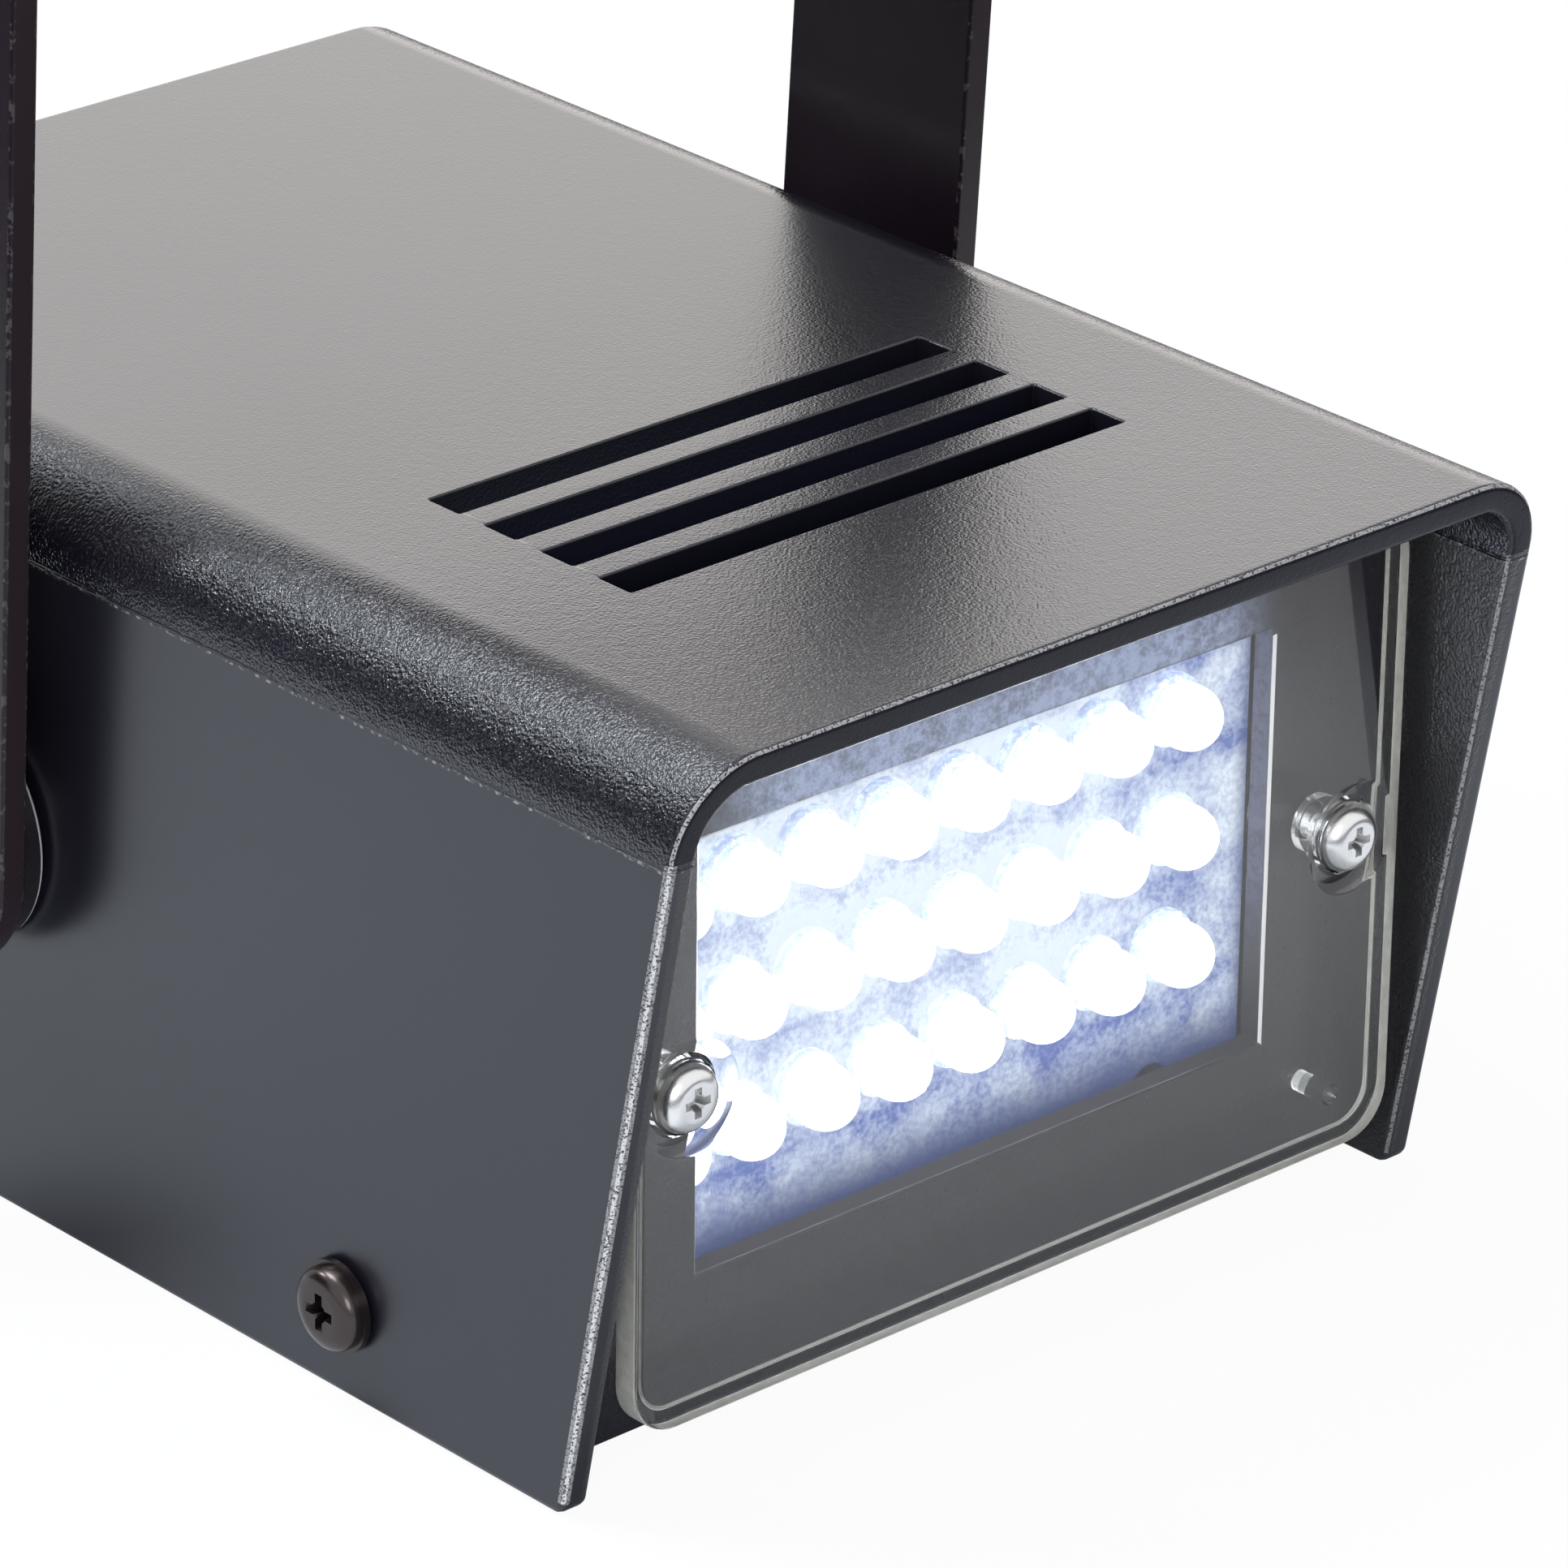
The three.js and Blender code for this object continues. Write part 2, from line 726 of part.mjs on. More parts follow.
// A can whose sides hold a groove near the foot and a rounded top
function filterCapacitor() {
  const neck = filterRadius * filterNeckShare;
  const wall = filterHeightShares.map((share, i) => (
    [i % 2 ? neck : filterRadius, filterHeight * share]
  ));
  return turned([[0, 0], [filterRadius, 0], ...wall, [0, filterHeight]], screwSides);
}

function chip() {
  const body = block(
    [-chipWidth / 2, -chipLength / 2, chipLegRise],
    [chipWidth / 2, chipLength / 2, chipHeight + chipLegRise],
  );
  const shoulderZ = chipLegRise + chipHeight / 2;
  const legs = Object.values(sides).flatMap((side) => (
    Array.from({ length: chipLegsPerSide }, (_, i) => {
      const y = (i - (chipLegsPerSide - 1) / 2) * chipLegPitch;
      const xs = [side * (chipWidth / 2 - chipLegWidth), side * (chipWidth / 2 + chipLegWidth)];
      xs.sort((a, b) => a - b);
      return block([xs[0], y - chipLegWidth / 2, shoulderZ - chipLegWidth],
        [xs[1], y + chipLegWidth / 2, shoulderZ])
        .add(block([side > 0 ? chipWidth / 2 : xs[0], y - chipLegWidth / 2, 0],
          [side > 0 ? xs[1] : -chipWidth / 2, y + chipLegWidth / 2, shoulderZ - chipLegWidth / 2]));
    })
  ));
  return joined([body, ...legs]);
}

function transistor() {
  const bodyBase = transistorLegLength;
  const bodyTop = bodyBase + transistorBodyHeight;
  const tabTop = bodyTop + transistorTabHeight;
  const backY = transistorDepth / 2;
  const tabHoleZ = bodyTop + transistorTabHeight / 2;
  const legs = [-1, 0, 1].map((place) => block(
    [place * transistorLegPitch - transistorLegWidth / 2, -transistorLegWidth / 2, 0],
    [place * transistorLegPitch + transistorLegWidth / 2, transistorLegWidth / 2, bodyBase + cutOverrun],
  ));
  const body = block([-transistorWidth / 2, -backY, bodyBase], [transistorWidth / 2, backY, bodyTop]);
  const tab = block([-transistorWidth / 2, backY - transistorTabThickness, bodyTop - cutOverrun],
    [transistorWidth / 2, backY, tabTop])
    .subtract(bore('y', transistorTabHole, -backY, backY + cutOverrun, [0, tabHoleZ]));
  return joined([body, tab, ...legs]);
}

// The lead rises from its connector, bends forward and meets the back of the LED board
function ledLead(startX, startY, startZ) {
  const endY = ledBoardRearY + seatGap;
  const path = new THREE.CatmullRomCurve3(leadPathShares.map(([along, rise]) => (
    new THREE.Vector3(startX, startY + (endY - startY) * along, startZ + leadRise * rise)
  )));
  const section = Array.from({ length: leadSides }, (_, i) => {
    const angle = (i * 2 * Math.PI) / leadSides;
    return point(leadRadius * Math.cos(angle), leadRadius * Math.sin(angle));
  });
  const options = { steps: leadSteps, extrudePath: path, bevelEnabled: false };
  return solidOf(new THREE.ExtrudeGeometry(new THREE.Shape(section), options));
}

// Rate control, built along Z with the panel's outer face at Z 0 and the knob above it

function potentiometer() {
  const frontZ = -panelThickness - seatGap;
  const backZ = frontZ - potDepth;
  const body = turned([
    [0, backZ],
    [potRadius, backZ],
    [potRadius, frontZ],
    [bushRadius, frontZ],
    [bushRadius, frontZ + bushLength],
    [0, frontZ + bushLength],
  ], knobSides);
  const lugs = [-1, 0, 1].map((place) => block(
    [place * potLugPitch - potLugWidth / 2, -potRadius - potLugLength, frontZ - potLugSink - potLugThickness],
    [place * potLugPitch + potLugWidth / 2, -potRadius / 2, frontZ - potLugSink],
  ));
  const shaftBore = bore('z', shaftRadius + turnGap, frontZ - shaftBlindDepth - seatGap,
    frontZ + bushLength + cutOverrun, [0, 0]);
  return cut(joined([body, ...lugs]), [shaftBore]);
}

function controlShaft() {
  const foot = -panelThickness - seatGap - shaftBlindDepth;
  const top = knobFloat + knobHeight - knobCrown - seatGap;
  return rod('z', shaftRadius, foot, top, [0, 0]);
}

function speedKnob() {
  const foot = knobFloat;
  const top = knobFloat + knobHeight;
  const body = turned([
    [0, foot],
    [knobRadius, foot],
    [knobTopRadius, top - knobChamfer],
    [knobTopRadius - knobChamfer, top],
    [0, top],
  ], knobSides);
  const pointer = block([-pointerWidth / 2, 0, top - knobChamfer],
    [pointerWidth / 2, knobTopRadius - knobChamfer, top + pointerHeight]);
  const flutes = Array.from({ length: knobFlutes }, (_, i) => {
    const angle = ((i + 0.5) * 2 * Math.PI) / knobFlutes;
    const at = [knobRadius * Math.cos(angle), knobRadius * Math.sin(angle)];
    return rod('z', knobFluteRadius, foot + knobSkirtDepth, top + cutOverrun, at);
  });
  const skirt = bore('z', knobRadius - knobSkirtWall, foot - cutOverrun, foot + knobSkirtDepth, [0, 0],
    knobSides);
  const shaftBore = bore('z', shaftRadius + turnGap, foot, top - knobCrown, [0, 0]);
  return cut(body.add(pointer), [...flutes, skirt, shaftBore]);
}

// Rubber bush in the rear panel, built along Z with the panel's outer face at Z 0
function inletGrommet() {
  const neckRadius = inletBoreRadius + inletNeckWall;
  const inner = -panelThickness - seatGap;
  const outer = seatGap + inletFlangeThickness;
  const body = turned([
    [0, inner - inletLipThickness],
    [neckRadius, inner - inletLipThickness],
    [neckRadius + inletLipWidth, inner],
    [neckRadius, inner],
    [neckRadius, seatGap],
    [inletFlangeRadius, seatGap],
    [inletFlangeRadius, outer - inletFlangeThickness / 3],
    [inletFlangeRadius - inletFlangeThickness / 3, outer],
    [0, outer],
  ], knobSides);
  const cordBore = bore('z', inletBoreRadius, inner - inletLipThickness - cutOverrun, outer + cutOverrun,
    [0, 0], knobSides);
  return body.subtract(cordBore);
}

// Bracket, built round its pivot

function bracketSolid() {
  const outerTop = bracketReach + stripThickness;
  const outerRadius = bendRadius + stripThickness;
  const foot = -stripWidth / 2 - cutOverrun;
  const strip = frontPlate([
    point(armOuterX, foot),
    ...arc(armOuterX - outerRadius, outerTop - outerRadius, outerRadius, 0, 1, smallCornerSteps * 2),
    ...arc(outerRadius - armOuterX, outerTop - outerRadius, outerRadius, 1, 2, smallCornerSteps * 2),
    point(-armOuterX, foot),
    point(-armInnerX, foot),
    ...arc(bendRadius - armInnerX, bracketReach - bendRadius, bendRadius, 2, 1, smallCornerSteps * 2),
    ...arc(armInnerX - bendRadius, bracketReach - bendRadius, bendRadius, 1, 0, smallCornerSteps * 2),
    point(armInnerX, foot),
  ], -stripWidth / 2 - cutOverrun, stripWidth / 2 + cutOverrun);
  const silhouette = sidePlate([
    ...arc(0, 0, stripWidth / 2, -2, 0, cornerSteps * 2),
    point(stripWidth / 2, outerTop + cutOverrun),
    point(-stripWidth / 2, outerTop + cutOverrun),
  ], -armOuterX - cutOverrun, armOuterX + cutOverrun);
  const barCut = [bracketReach - cutOverrun, outerTop + cutOverrun];
  const holes = [
    bore('x', studRadius + seatGap, -armOuterX - cutOverrun, armOuterX + cutOverrun, [0, 0]),
    bore('z', hangHoleRadius, ...barCut, [0, 0], knobSides),
    ...Object.values(sides).map((side) => (
      bore('z', fixingHoleRadius, ...barCut, [(side * fixingHoleSpread) / 2, 0])
    )),
  ];
  return cut(strip.intersect(silhouette), holes);
}

// A spacer between the case's wall and the arm, built along Z, with its inner face at Z 0
function bracketSpacer() {
  const wall = wallOuterX(pivotHeight - spacerRadius) + seatGap;
  const thickness = armInnerX - seatGap - wall;
  return rod('z', spacerRadius, 0, thickness, [0, 0], knobSides)
    .subtract(bore('z', studRadius + seatGap, -cutOverrun, thickness + cutOverrun, [0, 0]));
}

// A knob with its threaded stud, built along Z, with the arm's outer face at Z 0
function thumbScrew() {
  const nutInnerX = wallInnerX(pivotHeight) - seatGap - nutThickness;
  const tip = nutInnerX - studTip - armOuterX;
  const hubTop = seatGap + gripHubHeight;
  const top = hubTop + gripHeight;
  const body = turned([
    [0, tip],
    [studRadius, tip],
    [studRadius, seatGap],
    [gripHubRadius, seatGap],
    [gripHubRadius, hubTop],
    [gripRadius - gripChamfer, hubTop],
    [gripRadius, hubTop + gripChamfer],
    [gripRadius, top - gripChamfer],
    [gripRadius - gripChamfer, top],
    [0, top],
  ], knobSides);
  const flutes = Array.from({ length: gripFlutes }, (_, i) => {
    const angle = (i * 2 * Math.PI) / gripFlutes;
    const reach = gripRadius + gripFluteRadius / 2;
    const at = [reach * Math.cos(angle), reach * Math.sin(angle)];
    return rod('z', gripFluteRadius, hubTop - cutOverrun, top + cutOverrun, at);
  });
  return cut(body, flutes);
}

// Assembly

const strobe = new THREE.Group();

// Turns that point a piece's own Z axis at one side of the case
const quarter = Math.PI / 2;
const facing = {
  up: [0, 0, 0],
  front: [quarter, 0, 0],
  rear: [-quarter, 0, Math.PI],
  left: [0, -quarter, 0],
  right: [0, quarter, 0],
};

function place(name, solid, material, position = [0, 0, 0], turn = facing.up, parent = strobe) {
  const mesh = new THREE.Mesh(geometryOf(solid), material);
  mesh.name = name;
  mesh.position.set(...position);
  mesh.rotation.set(...turn);
  parent.add(mesh);
}

function addCase() {
  place('top_cover', topCover(), blackPlastic);
  place('base_chassis', baseChassis(), chassisPlastic);
  for (const [end, fromRear] of Object.entries(coverScrewFromRear)) {
    for (const [name, side] of Object.entries(sides)) {
      place(`cover_screw_${end}_${name}`, screw(coverScrew), blackSteel,
        [side * coverScrewSeatX, rearY - fromRear, coverScrewHeight], facing[name]);
    }
  }
}

function addLens() {
  place('lens_cover', lensCover(), clearPlastic);
  for (const [name, side] of Object.entries(sides)) {
    place(`lens_screw_${name}`, screw(lensScrew), brightSteel,
      [side * lensScrewX, lensFrontY + cupDepth - seatGap, lensScrewZ], facing.front);
  }
}

function addLeds() {
  place('led_board', ledBoard(), whiteBoard);
  ledRowPlaces.forEach((z, row) => {
    ledColumnPlaces.forEach((x, column) => {
      place(`led_row${row + 1}_col${column + 1}`, led(), ledPlastic,
        [x, ledBoardFrontY - turnGap, z], facing.front);
    });
  });
  const screwY = ledBoardRearY + turnGap;
  place('led_board_screw_left', screw(boardScrew), zincSteel,
    [-ledPostX, screwY, ledPostHeights[1]], facing.rear);
  place('led_board_screw_right', screw(boardScrew), zincSteel,
    [ledPostX, screwY, ledPostHeights[0]], facing.rear);
}

// Middle of each piece on the driver board, as shares of the board's half width and half length
const driverShares = {
  fuse: [-0.78, 0.2],
  dropper_capacitor: [-0.38, 0.42],
  bridge_rectifier: [0.08, 0.68],
  filter_capacitor: [0.6, 0.36],
  power_resistor: [-0.4, -0.46],
  timer_chip: [0.06, 0.08],
  switching_transistor: [0.1, -0.58],
  lead_connector: [0.62, -0.5],
};

function addDriver() {
  place('driver_board', driverBoard(), greenBoard);
  const screwZ = driverTop + turnGap;
  place('driver_board_screw_left', screw(boardScrew), zincSteel,
    [driverHoleX(-1), driverHoleY(-1), screwZ]);
  place('driver_board_screw_right', screw(boardScrew), zincSteel,
    [driverHoleX(1), driverHoleY(1), screwZ]);

  const upright = (width, length, height) => (
    block([-width / 2, -length / 2, 0], [width / 2, length / 2, height])
  );
  const parts = {
    fuse: [lyingBarrel(fuseRadius, fuseLength, fuseCapLength, fuseGlassInset), glassTube],
    dropper_capacitor: [upright(dropperWidth, dropperLength, dropperHeight), filmPlastic],
    bridge_rectifier: [upright(rectifierLength, rectifierWidth, rectifierHeight), moulding],
    filter_capacitor: [filterCapacitor(), sleevePlastic],
    power_resistor: [lyingBarrel(resistorRadius, resistorLength, resistorEndLength, resistorWaist),
      ceramic],
    timer_chip: [chip(), moulding],
    switching_transistor: [transistor(), moulding],
    lead_connector: [upright(connectorWidth, connectorLength, connectorHeight), whitePlastic],
  };
  for (const [name, [solid, material]] of Object.entries(parts)) {
    const [widthShare, lengthShare] = driverShares[name];
    place(name, solid, material, [
      (widthShare * driverWidth) / 2,
      driverY + (lengthShare * driverLength) / 2,
      driverTop + turnGap,
    ]);
  }
  const [leadWidthShare, leadLengthShare] = driverShares.lead_connector;
  place('led_lead', ledLead(
    (leadWidthShare * driverWidth) / 2,
    driverY + (leadLengthShare * driverLength) / 2,
    driverTop + turnGap + connectorHeight + seatGap,
  ), redSleeve);
}

function addRearPanel() {
  const control = new THREE.Group();
  control.position.set(controlOffset, rearPanelOuterY, controlHeight);
  control.rotation.set(...facing.rear);
  strobe.add(control);
  const own = [0, 0, 0];
  place('speed_potentiometer', potentiometer(), zincSteel, own, facing.up, control);
  place('potentiometer_nut', hexNut(potNutAcrossFlats, potNutThickness, bushRadius + turnGap),
    zincSteel, [0, 0, seatGap], facing.up, control);
  place('potentiometer_shaft', controlShaft(), whitePlastic, own, facing.up, control);
  place('speed_knob', speedKnob(), moulding, own, facing.up, control);
  place('inlet_grommet', inletGrommet(), blackRubber,
    [inletOffset, rearPanelOuterY, inletHeight], facing.rear);
}

function addBracket() {
  place('bracket', bracketSolid(), blackPaint, [0, pivotY, pivotHeight], [bracketTilt, 0, 0]);
  const spacerX = wallOuterX(pivotHeight - spacerRadius) + seatGap;
  const nutX = wallInnerX(pivotHeight) - seatGap - nutThickness;
  for (const [name, side] of Object.entries(sides)) {
    place(`bracket_spacer_${name}`, bracketSpacer(), blackRubber,
      [side * spacerX, pivotY, pivotHeight], facing[name]);
    place(`thumb_screw_${name}`, thumbScrew(), moulding,
      [side * armOuterX, pivotY, pivotHeight], facing[name]);
    place(`captive_nut_${name}`, hexNut(nutAcrossFlats, nutThickness, studRadius + turnGap),
      zincSteel, [side * nutX, pivotY, pivotHeight], [0, side * quarter, 0]);
  }
}

addCase();
addLens();
addLeds();
addDriver();
addRearPanel();
addBracket();

export default strobe;
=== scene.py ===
import json
import math

import bmesh
import bpy
from bpy.props import FloatProperty, FloatVectorProperty, IntProperty, PointerProperty
from mathutils import Matrix, Vector


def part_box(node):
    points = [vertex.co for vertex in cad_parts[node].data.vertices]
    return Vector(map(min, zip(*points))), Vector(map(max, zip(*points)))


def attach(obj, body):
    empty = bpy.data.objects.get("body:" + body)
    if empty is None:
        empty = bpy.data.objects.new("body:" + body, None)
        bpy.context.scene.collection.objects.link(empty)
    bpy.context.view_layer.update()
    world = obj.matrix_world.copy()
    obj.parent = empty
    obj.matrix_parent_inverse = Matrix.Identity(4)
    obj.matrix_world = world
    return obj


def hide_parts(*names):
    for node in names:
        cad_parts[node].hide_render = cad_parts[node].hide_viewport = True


bl_info = {
    "name": "LED strobe light",
    "version": (1, 0, 0),
    "blender": (4, 5, 0),
    "location": "3D View > Sidebar > Strobe",
    "description": "Builds the strobe light's detailed pieces, finishes and studio",
    "category": "Object",
}

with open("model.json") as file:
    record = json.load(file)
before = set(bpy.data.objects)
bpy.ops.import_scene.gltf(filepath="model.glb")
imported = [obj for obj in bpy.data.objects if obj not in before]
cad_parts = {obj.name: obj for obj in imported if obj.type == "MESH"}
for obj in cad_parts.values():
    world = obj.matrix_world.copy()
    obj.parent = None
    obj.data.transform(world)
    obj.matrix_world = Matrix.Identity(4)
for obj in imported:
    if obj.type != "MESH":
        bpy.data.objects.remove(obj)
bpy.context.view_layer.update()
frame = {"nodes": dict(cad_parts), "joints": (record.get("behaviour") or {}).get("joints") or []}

MM = 0.001
QUARTER = math.pi / 2
SIDES = {"left": -1, "right": 1}
FACING = {
    "up": (0, 0, 0),
    "front": (QUARTER, 0, 0),
    "rear": (QUARTER, 0, math.pi),
    "left": (0, -QUARTER, 0),
    "right": (0, QUARTER, 0),
}
AXIS_TURN = {"x": (0, QUARTER, 0), "y": (QUARTER, 0, 0), "z": (0, 0, 0)}
TIP_END = {"front": ("y", 1), "rear": ("y", 0), "up": ("z", 0), "left": ("x", 1), "right": ("x", 0)}
BOARD_SCREWS = ("led_board_screw_right", "led_board_screw_left")

WHITE = (1, 1, 1, 1)
SENSOR_WIDTH = 36
LAMP_WATTS = 4  # of a lamp of one square metre, for each unit of its brightness
SAME_PLACE = 0.02 * MM  # places closer than this count as one
NEARLY = 0.01 * MM  # what rounding may put a place off by
PAST = 1 * MM  # how far a cutter stands past what it cuts
# Radii of the holes for the thumb screws' studs, the small screws and the rate knob's shaft
STUD_HOLE, SMALL_BORE, SHAFT_HOLE = 2.25 * MM, 1.25 * MM, 2.75 * MM
# From the middles of the outermost LEDs to the edges of the lamp window
WINDOW_SIDE, WINDOW_BELOW, WINDOW_ABOVE = 2.95 * MM, 6.35 * MM, 8.25 * MM
# A face that rounds an edge is narrower than the first on average, with an edge longer than the second
NARROW_FACE, SHORTEST_EDGE = 0.33 * MM, 0.7 * MM


# Sizes and colours


def length(name, description, default):
    """A size in metres."""
    return FloatProperty(
        name=name, description=description, default=default * MM, min=0, precision=5, unit="LENGTH", subtype="DISTANCE"
    )


def colour(name, description, default):
    """A linear colour."""
    return FloatVectorProperty(
        name=name, description=description, default=default, size=3, min=0, max=1, subtype="COLOR"
    )


def share(name, description, default):
    """A value from 0 to 1."""
    return FloatProperty(name=name, description=description, default=default, min=0, max=1, subtype="FACTOR")


def level(name, description, default):
    """A strength or ratio without a unit."""
    return FloatProperty(name=name, description=description, default=default, min=0)


class StrobeSizes(bpy.types.PropertyGroup):
    """Sizes of the pieces that Blender builds over the frame."""

    corner: length("Corner radius", "Outside radius of the case's two long top corners", 7)
    side_wall: length("Side wall", "Thickness of the case's side walls", 2.5)
    top_wall: length("Top wall", "Thickness of the case's top", 2.6)
    draft: length("Draft", "How much wider each wall stands at its foot", 0.65)
    rake: length("Hood rake", "How far the hood's lip overhangs the toe of the side walls", 11.6)
    toe: length("Toe radius", "Rounding of the side walls' front bottom corners", 1.2)
    rim_round: length("Rim rounding", "Rounding of the cover's open edges", 0.6)
    slot_length: length("Slot length", "Length of a vent slot", 48)
    slot_width: length("Slot width", "Width of a vent slot", 3.4)
    slot_pitch: length("Slot pitch", "Distance from slot to slot", 6.16)
    slot_from_rear: length("Slot place", "From the cover's rear edge to the last slot", 79.3)
    slot_count: IntProperty(name="Slots", description="Number of vent slots", default=4, min=1)
    panel: length("Panel", "Thickness of the front and rear panels", 2.2)
    lens_plate: length("Lens plate", "Thickness of the lens", 1.5)
    lens_rim: length("Lens rim", "Width of the lens's raised rim", 1.3)
    lens_corner: length("Lens corner", "Corner radius of the lens", 4)
    cup: length("Cup radius", "Radius of the lens's screw cups", 4.6)
    cup_depth: length("Cup depth", "Depth of the lens's screw cups", 1.8)
    strip: length("Strip thickness", "Thickness of the bracket's steel", 2.3)
    strip_width: length("Strip width", "Width of the bracket's steel", 20)
    strip_forward: length("Strip place", "How far the steel's middle stands in front of the pivot", 0.5)
    bend: length("Bend radius", "Inside radius of the bracket's bends", 3)
    led: length("LED radius", "Radius of an LED's dome", 2.5)


class StrobeFinish(bpy.types.PropertyGroup):
    """Colours and textures of the pieces."""

    case_colour: colour("Case colour", "Moulded case", (0.0095, 0.0085, 0.014))
    chassis_colour: colour("Chassis colour", "Moulded panels and floor", (0.012, 0.0105, 0.0145))
    bracket_colour: colour("Bracket colour", "Painted steel", (0.011, 0.0065, 0.0105))
    grain_size: length("Grain size", "Spacing of the eroded grain on the mouldings", 0.25)
    grain_depth: length("Grain depth", "Depth of the eroded grain", 0.066)
    case_roughness: share("Case roughness", "Roughness of the case between the grain", 0.25)
    glow_colour: colour("Glow colour", "Light at the foot of the LEDs", (0.36, 0.45, 0.72))
    glow: level("Glow", "Strength of the LEDs' light", 4.0)
    board_colour: colour("Board colour", "Light on the board between the LEDs", (0.12, 0.175, 0.47))


class StrobeStudio(bpy.types.PropertyGroup):
    """Camera, lamps and background."""

    camera_place: FloatVectorProperty(
        name="Camera place", description="Camera position", default=(-0.40183, -0.47027, 0.30917), size=3,
        unit="LENGTH", subtype="TRANSLATION",
    )
    camera_back: FloatVectorProperty(
        name="Camera back", description="Direction from the object to the camera",
        default=(-0.61490, -0.66825, 0.41875), size=3, subtype="DIRECTION",
    )
    camera_up: FloatVectorProperty(
        name="Camera up", description="Direction of the top of the picture",
        default=(0.27299, 0.31779, 0.90801), size=3, subtype="DIRECTION",
    )
    focal: FloatProperty(name="Focal length", description="In millimetres on a 36 mm sensor", default=204.53, min=1)
    back_light: level("Back light", "Brightness of the panel whose reflection lights the top", 1.14)
    side_light: level("Side light", "Brightness of the dimmer panel beside it", 0.65)
    corner_light: level("Corner light", "Brightness of the small lamp that sparkles in the rounded corner", 85.0)
    top_light: level("Top light", "Brightness of the soft light overhead", 8.3)
    fill_light: level("Fill light", "Brightness of the soft light from the front", 4.0)
    surround: level("Surround", "Strength of the room's even light", 0.30)
    floor_shade: share("Floor shade", "How much of the object's shadow shows on the white floor", 0.05)
    floor_reach: length("Floor reach", "How far the lit part of the floor reaches", 162)


# Modelling by operators


def settle():
    """Leaves edit mode and deselects everything."""
    if bpy.context.mode != "OBJECT":
        bpy.ops.object.mode_set(mode="OBJECT")
    bpy.ops.object.select_all(action="DESELECT")


def take(obj):
    """Makes one object the active and only selected one."""
    settle()
    obj.select_set(True)
    bpy.context.view_layer.objects.active = obj


def edit(obj):
    """Opens one object in edit mode with nothing selected."""
    take(obj)
    bpy.ops.object.mode_set(mode="EDIT")
    bpy.ops.mesh.select_all(action="DESELECT")


def choose(kind, test):
    """In edit mode, selects the faces (centre, normal), edges (two ends) or corners (place) that pass the test."""
    bpy.ops.mesh.select_mode(type=kind)
    bpy.ops.mesh.select_all(action="DESELECT")
    mesh = bmesh.from_edit_mesh(bpy.context.object.data)
    if kind == "FACE":
        found = [f for f in mesh.faces if test(f.calc_center_median(), f.normal)]
    elif kind == "EDGE":
        found = [e for e in mesh.edges if test(e.verts[0].co, e.verts[1].co)]
    else:
        found = [v for v in mesh.verts if test(v.co)]
    if not found:
        raise RuntimeError(f"{bpy.context.object.name}: nothing to select")
    for item in found:
        item.select_set(True)
    mesh.select_flush_mode()
    bmesh.update_edit_mesh(bpy.context.object.data)


def near(a, b):
    return abs(a - b) < SAME_PLACE


def level_at(height):
    """A test for edges that run along Y at one height."""
    return lambda a, b: near(a.z, height) and near(b.z, height) and near(a.x, b.x)


def upright(a, b):
    return near(a.x, b.x) and near(a.y, b.y)


def endwise(a, b):
    return near(a.x, b.x) and near(a.z, b.z)


def round_edges(obj, offset, segments, test):
    """Bevels the edges whose two ends pass the test."""
    edit(obj)
    choose("EDGE", test)
    bpy.ops.mesh.bevel(offset=offset, segments=segments, affect="EDGES")
    settle()


def baked_place():
    bpy.ops.object.transform_apply(location=True, rotation=True, scale=True)


def named(name):
    obj = bpy.context.object
    obj.name = obj.data.name = name
    return obj


def discard(*objects):
    for obj in objects:
        bpy.data.objects.remove(obj)


def add_box(name, low, high):
    settle()
    low, high = Vector(low), Vector(high)
    bpy.ops.mesh.primitive_cube_add(size=1, location=(low + high) / 2, scale=high - low)
    obj = named(name)
    baked_place()
    return obj


def add_rod(axis, radius, start, end, at, sides):
    """A round bar along one axis; at gives the other two coordinates in X, Y, Z order."""
    settle()
    place = list(at)
    place.insert("xyz".index(axis), (start + end) / 2)
    bpy.ops.mesh.primitive_cylinder_add(
        vertices=sides, radius=radius, depth=end - start, location=place, rotation=AXIS_TURN[axis]
    )
    obj = bpy.context.object
    baked_place()
    return obj


def add_turned(name, profile, sides=48, ring=False):
    """A body turned about Z through (radius, height) points, ring by ring; a ring's profile closes on itself."""
    settle()
    profile = list(profile) + ([profile[0]] if ring else [])
    radius, height = profile[0]
    bpy.context.tool_settings.mesh_select_mode = (True, False, False)
    bpy.ops.mesh.primitive_circle_add(vertices=sides, radius=radius, location=(0, 0, height), enter_editmode=True)
    obj = named(name)
    for wide, high in profile[1:]:
        bpy.ops.mesh.extrude_region_move(TRANSFORM_OT_translate={"value": (0, 0, high - height)})
        grow = wide / radius
        bpy.ops.transform.resize(value=(grow, grow, 1), center_override=(0, 0, high))
        radius, height = wide, high
    bpy.ops.mesh.select_all(action="SELECT")
    bpy.ops.mesh.remove_doubles(threshold=1e-7)
    if not ring:
        bpy.ops.mesh.fill_holes(sides=0)
    bpy.ops.mesh.select_all(action="SELECT")
    bpy.ops.mesh.normals_make_consistent(inside=False)
    settle()
    take(obj)
    baked_place()
    return obj


def apply(obj, kind, **settings):
    take(obj)
    modifier = obj.modifiers.new(kind.title(), kind)
    for key, value in settings.items():
        setattr(modifier, key, value)
    bpy.ops.object.modifier_apply(modifier=modifier.name)


